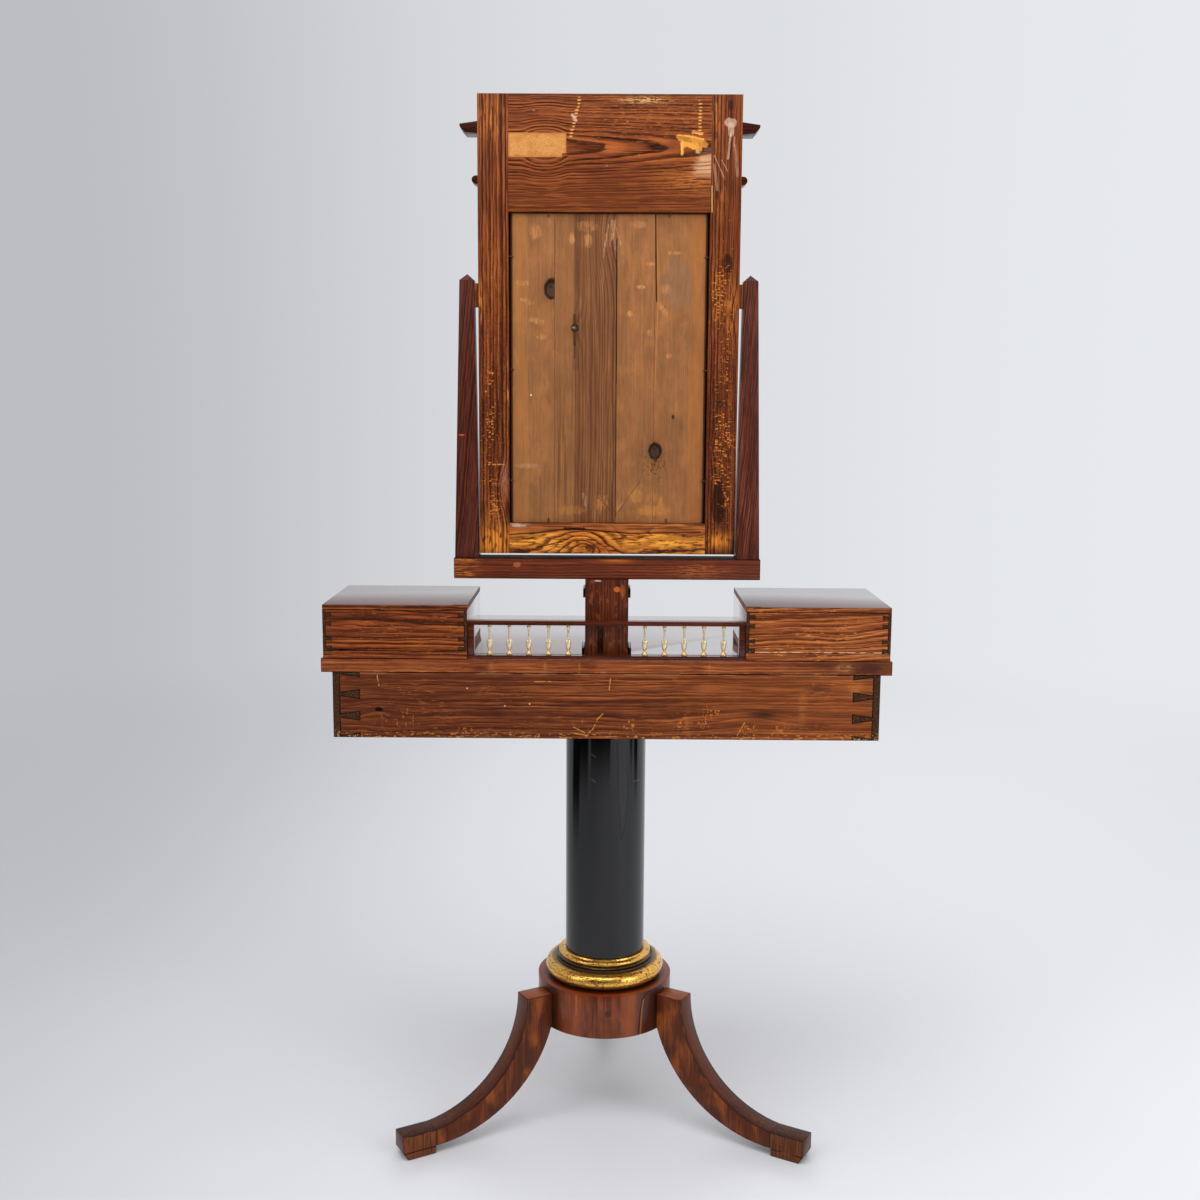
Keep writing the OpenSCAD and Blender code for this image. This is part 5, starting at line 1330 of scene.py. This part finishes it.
# Each stile has chips in clusters, rubbed streaks, dark places, a worn edge, and gold on its foot. All are
# given by height and place across, with half sizes; chips and rubs also by how many there are.
stile_marks = {"right": dict(pale=tone(182, 98, 44), humps=[((1.000, 0.147), (0.03, 0.012), 0.009)],
                             dark=[((1.120, 0.1580), (0.070, 0.008), 0.35),
                                   ((0.968, 0.1410), (0.020, 0.004), 0.6)],
                             rubs=[((1.505, 0.1600), (0.028, 0.020), 0.6),
                                   ((1.256, 0.1770), (0.030, 0.004), 0.9),
                                   ((1.300, 0.1600), (0.050, 0.012), 0.35),
                                   ((1.140, 0.1400), (0.040, 0.003), 0.8)],
                             chips=[((1.157, 0.1640), (0.016, 0.009), 0.7),
                                    ((1.098, 0.1635), (0.022, 0.009), 0.85),
                                    ((1.138, 0.1715), (0.010, 0.005), 0.5),
                                    ((1.040, 0.1620), (0.008, 0.016), 0.55),
                                    ((1.012, 0.1620), (0.007, 0.016), 0.65),
                                    ((0.978, 0.1585), (0.020, 0.009), 0.95),
                                    ((1.060, 0.1640), (0.090, 0.016), 0.38),
                                    ((1.300, 0.1630), (0.14, 0.014), 0.14)],
                             rows=[([(1.0362, 0.1440), (1.0358, 0.1720)], 0.0012)],
                             worn=((1.016, 0.1445), (0.022, 0.0040)),
                             gold=((0.926, 0.1590), (0.024, 0.024), 0.95)),
               "left": dict(pale=tone(166, 86, 40),
                            humps=[((1.245, -0.168), (0.03, 0.01), 0.006),
                                   ((1.060, -0.152), (0.02, 0.010), 0.005)],
                            dark=[((0.985, -0.1560), (0.036, 0.012), 0.75),
                                  ((1.312, -0.1630), (0.016, 0.008), 0.7),
                                  ((0.915, -0.1780), (0.020, 0.005), 0.8),
                                  ((1.522, -0.1635), (0.008, 0.004), 0.6)],
                            rubs=[((1.500, -0.1430), (0.045, 0.006), 0.8),
                                  ((1.270, -0.1480), (0.050, 0.006), 0.6),
                                  ((1.250, -0.1680), (0.035, 0.009), 0.8),
                                  ((1.400, -0.1500), (0.030, 0.010), 0.4)],
                            chips=[((1.180, -0.1650), (0.060, 0.0035), 0.70),
                                   ((1.145, -0.1480), (0.012, 0.005), 0.45),
                                   ((1.070, -0.1600), (0.060, 0.015), 0.75),
                                   ((1.072, -0.1680), (0.020, 0.008), 0.95),
                                   ((1.000, -0.1670), (0.040, 0.008), 0.75),
                                   ((1.013, -0.1540), (0.012, 0.010), 0.6),
                                   ((1.270, -0.1520), (0.060, 0.014), 0.65),
                                   ((1.200, -0.1600), (0.260, 0.018), 0.30)], rows=[], worn=None,
                            gold=((0.930, -0.1580), (0.010, 0.016), 0.9))}
for side, looks in stile_marks.items():
    stile_wood = wood(f"{side}_stile_wood", "ZXY", looks["pale"], tone(118, 57, 29), tone(42, 15, 8),
                      ring=0.0040, lines=0.9, stain=0.3, streaks=0.45, heart=0.5, depth=0.0, wave=0.008,
                      humps=looks["humps"])
    crackle = stile_wood.patches(0.50, 0.62, (0.004, 0.0024, 0.01), 3, 49.0)
    stile_wood.mark(tone(52, 22, 13), crackle, stile_wood.fade(stile_wood.point["Z"], 1.36, 1.16), 0.5)
    early_share = stile_wood.sum("MULTIPLY_ADD", stile_wood.late, -0.9, 1.0)
    for at, size, share in looks["dark"]:
        stile_wood.mark(tone(34, 15, 10), stile_wood.spot(at, size, 0.1, 4.0), share)
    for at, size, share in looks["rubs"]:
        rub_streaks = stile_wood.patches(0.44, 0.58, (0.022, 0.0024, 0.01), 3, 52.0)
        stile_wood.mark(tone(216, 130, 56), stile_wood.spot(at, size), rub_streaks, early_share, share)
    chipped = 0.0
    for at, size, share in looks["chips"]:
        chipped = stile_wood.sum("MAXIMUM", chipped, stile_wood.times(stile_wood.spot(at, size), share))
    chips(stile_wood, tone(204, 108, 42), stile_wood.times(chipped, 0.50), share=0.85,
          cell=(0.0042, 0.0019), seed=81.0)
    chips(stile_wood, tone(234, 146, 60), stile_wood.times(chipped, 0.55), share=0.9, cell=(0.0021, 0.0044),
          seed=83.0)
    for places, width in looks["rows"]:
        broken_row = stile_wood.patches(0.40, 0.52, (0.01, 0.0024, 0.01), 2, 55.0)
        stile_wood.mark(tone(230, 150, 66), stile_wood.streak(places, width), broken_row, 0.8)
    gold_at, gold_size, gold_share = looks["gold"]
    gold_torn = stile_wood.patches(0.34, 0.50, (0.014, 0.0040, 0.01), 3, 57.0)
    stile_foot = stile_wood.times(stile_wood.spot(gold_at, gold_size), gold_torn, early_share, gold_share)
    stile_wood.paint(stile_wood.sum("MULTIPLY", stile_foot, 1.3, clamp=True), tone(232, 140, 46))
    if looks["worn"]:
        worn_streaks = stile_wood.patches(0.36, 0.56, (0.012, 0.0014, 0.01), 3, 59.0)
        worn_place = stile_wood.times(stile_wood.spot(*looks["worn"]), worn_streaks, 0.75)
        stile_wood.paint(worn_place, tone(172, 118, 92))
    else:
        # A run of something pale: a broad blob that narrows and splits, and rubbed scratches below it
        run_rows = stile_wood.patches(0.22, 0.56, (0.012, 0.0016, 0.01), 3, 61.0)
        for run, width, share in (([(1.4995, -0.1610), (1.4985, -0.1660)], 0.0066, 0.60),
                                  ([(1.4960, -0.1640), (1.4850, -0.1645)], 0.0044, 0.60),
                                  ([(1.4860, -0.1640), (1.4700, -0.1625), (1.4520, -0.1608)], 0.0016, 0.55),
                                  ([(1.4800, -0.1695), (1.4690, -0.1685)], 0.0012, 0.4),
                                  ([(1.4690, -0.1700), (1.4300, -0.1740)], 0.0024, 0.22),
                                  ([(1.4560, -0.1425), (1.4270, -0.1560)], 0.0008, 0.4),
                                  ([(1.4500, -0.1525), (1.4350, -0.1610)], 0.0008, 0.4),
                                  ([(1.4440, -0.1425), (1.4110, -0.1470)], 0.0020, 0.25)):
            stile_wood.mark(tone(224, 186, 156), stile_wood.streak(run, width, 0.12, 8.0), run_rows, share)
        seam = stile_wood.streak([(1.4160, -0.1398), (1.3816, -0.1404)], 0.0009)
        stile_wood.mark(tone(246, 206, 112), seam, 0.7)
        knot(stile_wood, (1.122, -0.1558), (0.0042, 0.0036), tone(96, 70, 52), tone(32, 20, 15))
    stile_finish = stile_wood.close(0.40, stile_wood.relief, 0.0002)
    stile = joiner_copy(f"mirror_{side}_stile", f"frame_{side}_stile", "mirror",
                        stile_finish, edge=0.0012)
    reface(stile, upright_veneer, (0, -1, 0))

low_wood = wood("bottom_rail_wood", "XZY", tone(250, 162, 60), tone(188, 98, 38), tone(36, 11, 4),
                ring=0.0036, lines=0.95, stain=0.3, heart=0.985, depth=0.0, slope=0.01, wave=0.010,
                ripple=1.3,
                humps=[((0.040, 0.920), (0.042, 0.030), 0.011), ((-0.030, 0.930), (0.032, 0.03), -0.004),
                       ((0.0300, 0.918), (0.012, 0.010), 0.004)])
low_below = low_wood.fade(low_wood.point["Z"], 0.944, 0.938)
low_sides = low_wood.sum("MAXIMUM", low_wood.fade(low_wood.point["X"], 0.045, 0.085),
                         low_wood.fade(low_wood.point["X"], 0.010, -0.030))
low_gold = low_wood.patches(0.38, 0.54, (0.05, 0.010, 0.01), 3, 91.0)
low_early = low_wood.sum("MULTIPLY_ADD", low_wood.late, -0.95, 1.0)
low_wood.mark(tone(250, 166, 60), low_below, low_sides, low_gold, low_early, 0.8)
low_dark = low_wood.patches(0.54, 0.62, (0.016, 0.0026, 0.01), 3, 93.0)
low_wood.mark(tone(44, 15, 6), low_below, low_dark, 0.8)
low_ragged = low_wood.times(low_wood.spot((-0.090, 0.9165), (0.045, 0.004)),
                            low_wood.patches(0.42, 0.52, (0.010, 0.0030, 0.01), 3, 95.0))
low_wood.mark(tone(34, 12, 6), low_ragged, 0.9)
low_top = low_wood.fade(low_wood.point["Z"], 0.942, 0.946)
low_strands = low_wood.patches(0.40, 0.58, (0.06, 0.0020, 0.01), 3, 97.0)
low_wood.mark(tone(168, 96, 50), low_top, 0.65)
low_wood.mark(tone(66, 30, 14), low_top, low_strands, 0.75)
# The long dark line, its blob, the eye of the figure, and a pale scrape at one end
for low_line, low_half in (
        ([(0.1373, 0.9377), (0.1000, 0.9402), (0.0667, 0.9448), (0.0456, 0.9465)], 0.0013),
        ([(0.0456, 0.9465), (0.0103, 0.9434), (-0.0321, 0.9402), (-0.1308, 0.9425)], 0.0014),
        ([(0.0600, 0.9462), (0.0330, 0.9462)], 0.0024),
        ([(0.1000, 0.9190), (0.0620, 0.9290), (0.0480, 0.9360)], 0.0010)):
    low_wood.mark(tone(34, 14, 9), low_wood.streak(low_line, low_half, 0.25, 4.0), 0.85)
low_wood.mark(tone(58, 24, 12), low_wood.spot((0.0240, 0.9200), (0.0090, 0.0045), 0.25, 9.0), 0.8)
low_scrape = low_wood.patches(0.40, 0.54, (0.006, 0.0016, 0.01), 3, 99.0)
low_wood.mark(tone(222, 190, 160), low_wood.spot((0.1250, 0.9510), (0.012, 0.0026)), low_scrape, 0.8)
low_finish = low_wood.close(0.36, low_wood.relief, 0.0002, shine=0.15)
low_rail = joiner_copy("mirror_bottom_rail", "frame_bottom_rail", "mirror", low_finish,
                       edge=0.0012)
reface(low_rail, front_veneer, (0, -1, 0))


# Back panel
# Four bare pine planks glued edge to edge, held in the frame by brads.
def smears(finish, places, colour, seed=30.0):
    """Soft smears: each has its middle along and across, its half sizes, and its strength."""
    brushed = finish.patches(0.25, 0.65, (0.012, 0.0022, 0.01), 3, seed)
    torn = finish.sum("MULTIPLY_ADD", finish.cloud((0.004, 0.003, 0.01), 3, seed + 1), 1.6, -0.8)
    smeared = 0.0
    for along, across, tall, wide, share in places:
        far = finish.sum("ADD", finish.off((along, across), (tall, wide)), torn)
        smeared = finish.sum("MAXIMUM", smeared, finish.times(finish.fade(far, 1.1, 0.2), share))
    finish.mark(colour, smeared, brushed)


panel_low, panel_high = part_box("mirror_back_panel")
plank_joints = [-0.0638, -0.0105, 0.0748]
plank_gap = 0.0002
plank_arris = 0.0004
plank_edges = [panel_low.x] + plank_joints + [panel_high.x]
panel_planks = []
for left, right in zip(plank_edges, plank_edges[1:]):
    start()
    bpy.ops.mesh.primitive_cube_add(size=1)
    plank = bpy.context.object
    plank.scale = (right - left - plank_gap, panel_high.y - panel_low.y, panel_high.z - panel_low.z)
    plank.location = ((left + right) / 2, (panel_low.y + panel_high.y) / 2,
                      (panel_low.z + panel_high.z) / 2)
    bpy.ops.object.transform_apply(location=True, rotation=True, scale=True)
    soften(plank, plank_arris)
    panel_planks.append(plank)
start()
for plank in panel_planks:
    plank.select_set(True)
bpy.context.view_layer.objects.active = panel_planks[0]
bpy.ops.object.join()
planks = bpy.context.object
planks.name = "back_planks"
panel_wood = wood("panel_wood", "ZXY", tone(172, 114, 67), tone(157, 103, 62), tone(108, 68, 42),
                  ring=0.0036, lines=0.10, fibre=0.22, stain=0.0, heart=0.4, depth=0.0, wave=0.014,
                  ripple=0.6,
                  humps=[((1.225, 0.047), (0.03, 0.010), 0.008), ((1.055, -0.068), (0.03, 0.014), 0.010),
                         ((1.345, 0.005), (0.05, 0.020), 0.010)])
across_panel = panel_wood.point["X"]
up_panel = panel_wood.point["Z"]
# Mottling in the old wood: the size of its patches, its seed, its strength and its tone
for mottle_size, mottle_seed, mottle_share, mottle_tone in (
        ((0.07, 0.028, 0.02), 77.0, 0.55, tone(132, 88, 55)),
        ((0.035, 0.020, 0.02), 72.0, 0.45, tone(180, 116, 66)),
        ((0.014, 0.009, 0.02), 68.0, 0.35, tone(136, 90, 57)),
        ((0.050, 0.0030, 0.02), 70.0, 0.14, tone(110, 71, 45)),
        ((0.030, 0.0024, 0.02), 69.0, 0.16, tone(190, 132, 84))):
    mottled = panel_wood.patches(0.48, 0.64, mottle_size, 3, mottle_seed)
    panel_wood.mark(mottle_tone, mottled, mottle_share)
# Bands of other wood: from and to across the panel, how much, and their tone
for band_low, band_high, band_share, band_tone in (
        (-0.0118, 0.0467, 0.65, tone(118, 72, 45)), (0.0467, 0.0748, 0.30, tone(130, 86, 52)),
        (0.112, 0.140, 0.45, tone(184, 120, 60)), (-0.140, -0.112, 0.45, tone(180, 110, 48))):
    band_mask = panel_wood.band(across_panel, band_low, band_high, 0.0014)
    band_cloud = panel_wood.patches(0.24, 0.56, (0.12, 0.012, 0.02), 3, 78.0)
    panel_wood.mark(band_tone, band_mask, band_cloud, band_share)
grey_patch = panel_wood.spot((1.285, -0.095), (0.040, 0.024), 0.3, 12.0)
panel_wood.mark(tone(132, 104, 84), grey_patch, 0.4)
dark_plank = panel_wood.band(across_panel, -0.0118, 0.0467, 0.001)
plank_lines = panel_wood.patches(0.50, 0.62, (0.10, 0.0020, 0.01), 2, 62.0)
panel_wood.mark(tone(84, 49, 31), panel_wood.late, dark_plank, 0.8)
panel_wood.mark(tone(86, 50, 32), plank_lines, dark_plank, 0.5)
plank_edge = panel_wood.streak([(1.375, 0.0440), (1.170, 0.0450)], 0.0060)
panel_wood.mark(tone(84, 54, 36), plank_edge, 0.45)
streaked = panel_wood.patches(0.52, 0.68, (0.16, 0.0045, 0.01), 3, 61.0)
low_half = panel_wood.fade(up_panel, 1.26, 1.12)
streaked_planks = panel_wood.band(across_panel, 0.020, 0.0748, 0.001)
panel_wood.mark(tone(104, 66, 40), streaked, streaked_planks, low_half, 0.6)
# Knots: height, place across, and half sizes. The first stops at the joint beside it.
knot_core = tone(84, 62, 47)
knot_rim = tone(34, 23, 17)
for knot_z, knot_x, knot_tall, knot_wide in ((1.2780, 0.0790, 0.0165, 0.0125),
                                             (1.2250, 0.0471, 0.0066, 0.0060),
                                             (1.0560, -0.0662, 0.0140, 0.0110),
                                             (1.1035, -0.0909, 0.0030, 0.0022)):
    on_plank = 1.0
    if knot_x > plank_joints[-1]:
        on_plank = panel_wood.fade(across_panel, 0.0744, 0.0752)
    knot(panel_wood, (knot_z, knot_x), (knot_tall, knot_wide), knot_core, knot_rim, shade=0.3, where=on_plank)
panel_wood.paint(panel_wood.spot((1.2258, 0.0482), (0.0012, 0.0020)), tone(196, 156, 122))
for tail, width in (([(1.221, 0.0471), (1.203, 0.0469)], 0.0030),
                    ([(1.206, 0.0469), (1.184, 0.0468)], 0.0014),
                    ([(1.242, 0.0471), (1.228, 0.0471)], 0.0034)):
    panel_wood.mark(tone(58, 36, 23), panel_wood.streak(tail, width), 0.7)
knot_specks = panel_wood.times(panel_wood.spot((1.040, -0.066), (0.026, 0.014)),
                               panel_wood.patches(0.54, 0.60, (0.0030, 0.0022, 0.01), 3, 71.0))
panel_wood.mark(tone(58, 36, 24), knot_specks, 0.9)
# Greasy smears, chalky rubs and golden wear near the foot: middle, half sizes and strength
smears(panel_wood, [(1.3453, 0.0511, 0.0086, 0.0048, 0.85), (1.3440, 0.0291, 0.0120, 0.0060, 0.6),
                    (1.2630, 0.1170, 0.0034, 0.0085, 0.55), (1.2590, 0.1090, 0.0036, 0.0075, 0.5),
                    (1.2812, -0.0444, 0.0030, 0.0090, 0.85), (1.2445, -0.0295, 0.0046, 0.0050, 0.85),
                    (1.2570, -0.0720, 0.0100, 0.0044, 0.75), (1.2470, -0.0780, 0.0070, 0.0046, 0.65),
                    (1.1875, -0.0842, 0.0044, 0.0046, 0.75), (1.2188, -0.0575, 0.0056, 0.0044, 0.55),
                    (1.3123, -0.0578, 0.0028, 0.0076, 0.55), (1.3272, -0.0893, 0.0030, 0.0120, 0.55),
                    (1.2787, -0.0789, 0.0085, 0.0085, 0.45), (1.2360, 0.1030, 0.0040, 0.0090, 0.55),
                    (1.2858, 0.1185, 0.0044, 0.0120, 0.5), (1.2330, 0.0965, 0.0040, 0.0085, 0.5),
                    (1.2126, 0.0923, 0.0050, 0.0080, 0.5), (1.3650, -0.0400, 0.0060, 0.0160, 0.35),
                    (1.3550, 0.1000, 0.0120, 0.0100, 0.45), (1.3620, 0.0300, 0.0090, 0.0160, 0.4)],
       tone(216, 148, 88), seed=73.0)
smears(panel_wood, [(1.0340, 0.1120, 0.0040, 0.0200, 0.3), (0.9838, 0.0303, 0.0110, 0.0030, 0.45),
                    (0.9920, 0.0340, 0.0060, 0.0026, 0.3)], tone(210, 170, 132), seed=75.0)
smears(panel_wood, [(0.9798, 0.0110, 0.0150, 0.0050, 0.7), (0.9850, 0.0030, 0.0120, 0.0040, 0.6),
                    (0.9928, -0.0400, 0.0110, 0.0120, 0.6), (0.9817, -0.0755, 0.0130, 0.0050, 0.7),
                    (0.9718, -0.0650, 0.0090, 0.0300, 0.6), (0.9720, 0.0500, 0.0080, 0.0240, 0.35),
                    (0.9900, -0.0620, 0.0100, 0.0100, 0.4)], tone(208, 138, 66), seed=76.0)
# Fine pale scratches near the top and foot, in torn strokes
for scrape in ([(1.376, -0.0023), (1.330, -0.0095)], [(1.372, -0.0090), (1.345, -0.0040)],
               [(1.364, 0.0005), (1.336, 0.0060)], [(1.360, -0.0100), (1.338, -0.0160)],
               [(1.370, -0.0060), (1.336, -0.0010)], [(1.352, 0.0040), (1.322, 0.0075)],
               [(0.9740, -0.0150), (0.9840, -0.0230)]):
    scraped = panel_wood.patches(0.40, 0.56, (0.010, 0.0010, 0.01), 3, 79.0)
    panel_wood.mark(tone(214, 168, 126), panel_wood.streak(scrape, 0.0014, 0.2, 9.0), scraped, 0.38)
panel_wood.mark(tone(96, 72, 58), panel_wood.spot((1.0897, -0.1036), (0.010, 0.0040)), 0.45)
# Pencil strokes that meet near the foot
for stroke in ([(0.9970, 0.0041), (0.9657, -0.0122)], [(1.0139, -0.0456), (0.9657, -0.0122)],
               [(0.9900, 0.0120), (0.9660, -0.0090)]):
    panel_wood.mark(tone(86, 52, 33), panel_wood.streak(stroke, 0.0009), 0.6)
# The dark joint between two planks, a split, and the pale line that runs on below it
for crack, width, share in (([(1.345, -0.0105), (1.150, -0.0112)], 0.0012, 0.9),
                            ([(1.150, -0.0112), (0.962, -0.0112)], 0.0008, 0.6),
                            ([(1.378, -0.0636), (1.345, -0.0642), (1.262, -0.0662)], 0.0013, 0.95),
                            ([(1.372, 0.0748), (1.310, 0.0748)], 0.0007, 0.4)):
    panel_wood.mark(tone(36, 22, 14), panel_wood.streak(crack, width), share)
foot_line = panel_wood.streak([(1.345, -0.0668), (1.262, -0.0682), (1.14, -0.0650)], 0.0010)
panel_wood.mark(tone(204, 132, 64), foot_line, 0.55)
panel_wood.paint(panel_wood.spot((1.1328, 0.1077), (0.0016, 0.0011), 0.2, 3.0), tone(236, 222, 206))
# Painted shadow where the panel meets the frame
panel_side_shadow = panel_wood.fade(panel_wood.sum("ABSOLUTE", across_panel), 0.1318, 0.1340)
panel_head_shadow = panel_wood.fade(up_panel, 1.3775, 1.3795)
panel_wood.mark(tone(26, 15, 10), panel_wood.sum("MAXIMUM", panel_side_shadow, panel_head_shadow), 0.85)
panel_finish = panel_wood.close(0.55, panel_wood.relief, 0.0002)
planks.data.materials.append(panel_finish)
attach(planks, "mirror")
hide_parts("mirror_back_panel")


# Mirror glass
# A silvered plate with a painted back, held behind the frame's lip.
silver = Finish("silvered_glass", tone(232, 236, 238), "XZY")
silver.paint(silver.patches(0.6, 0.8, (0.1, 0.1, 0.1), 4), tone(214, 218, 220))
mirror_finish = silver.close(0.015, shine=0.5, metal=1.0)
backing = Finish("mirror_backing_paint", tone(44, 38, 34), "XZY")
backing.paint(backing.patches(0.5, 0.7, (0.03, 0.03, 0.03), 3), tone(30, 26, 24))
glass = joiner_copy("mirror_glass", "silvered_plate", "mirror", mirror_finish, edge=0,
                    worn=None)
reface(glass, backing.close(0.6), (0, 1, 0))


# Cornice and half-round moulding
# Mitred round the front and sides of the frame and glued; their ends show from behind.
moulding_wood = wood("moulding_wood", "XZY", tone(90, 42, 24), tone(62, 28, 17), tone(34, 14, 9),
                     ring=0.004, lines=0.4, heart=1.4, depth=-0.1, wave=0.01)
moulding_finish = moulding_wood.close(0.28, moulding_wood.fibre, 0.0001, coat=0.3)
joiner_copy("mirror_cornice", "frame_cornice", "mirror", moulding_finish, edge=0.0006)
joiner_copy("mirror_astragal", "frame_half_round", "mirror", moulding_finish, edge=0.0003)


# Paper label
# A bare strip of aged paper pasted on the top rail, torn at one corner.
label_low, label_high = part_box("paper_label")
label_columns = 28
label_rows = 12
start()
bpy.ops.mesh.primitive_grid_add(x_subdivisions=label_columns, y_subdivisions=label_rows, size=1)
label = bpy.context.object
label.name = "aged_label"
label.scale = (label_high.x - label_low.x, label_high.z - label_low.z, 1)
label.rotation_euler = (math.pi / 2, 0, 0)
label.location = ((label_low.x + label_high.x) / 2, label_low.y, (label_low.z + label_high.z) / 2)
bpy.ops.object.transform_apply(location=True, rotation=True, scale=True)
bpy.ops.object.mode_set(mode="EDIT")
bpy.ops.mesh.select_all(action="DESELECT")
bpy.ops.object.mode_set(mode="OBJECT")
# The torn corner, which is cut out of the grid
torn_wide = 0.006
torn_high = 0.0065
for face in label.data.polygons:
    near_edge = face.center.x < label_low.x + torn_wide
    face.select = near_edge and face.center.z < label_low.z + torn_high
bpy.ops.object.mode_set(mode="EDIT")
bpy.ops.mesh.delete(type="FACE")
bpy.ops.object.mode_set(mode="OBJECT")
sheet = label.modifiers.new("thickness", "SOLIDIFY")
sheet.thickness = label_high.y - label_low.y
sheet.offset = -1
bpy.ops.object.modifier_apply(modifier=sheet.name)
paper = Finish("aged_paper", tone(222, 154, 84), "XZY")
paper.mark(tone(196, 122, 62), paper.patches(0.44, 0.62, (0.016, 0.010, 0.02), 4, 3), 0.6)
paper.mark(tone(160, 98, 48), paper.patches(0.5, 0.66, (0.002, 0.0016, 0.002), 3, 9), 0.5)
paper_middle = ((label_low.x + label_high.x) / 2, (label_low.z + label_high.z) / 2)
paper_half = ((label_high.x - label_low.x) / 2, (label_high.z - label_low.z) / 2)
for way, middle, half in zip(paper.ways, paper_middle, paper_half):
    from_middle = paper.sum("ABSOLUTE", paper.sum("SUBTRACT", way, middle))
    paper.mark(tone(176, 112, 58), paper.fade(from_middle, half - 0.004, half), 0.55)
label.data.materials.append(paper.close(0.75, paper.cloud((0.006, 0.004, 0.01), 3, 8), 0.0004))
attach(label, "mirror")
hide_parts("paper_label")
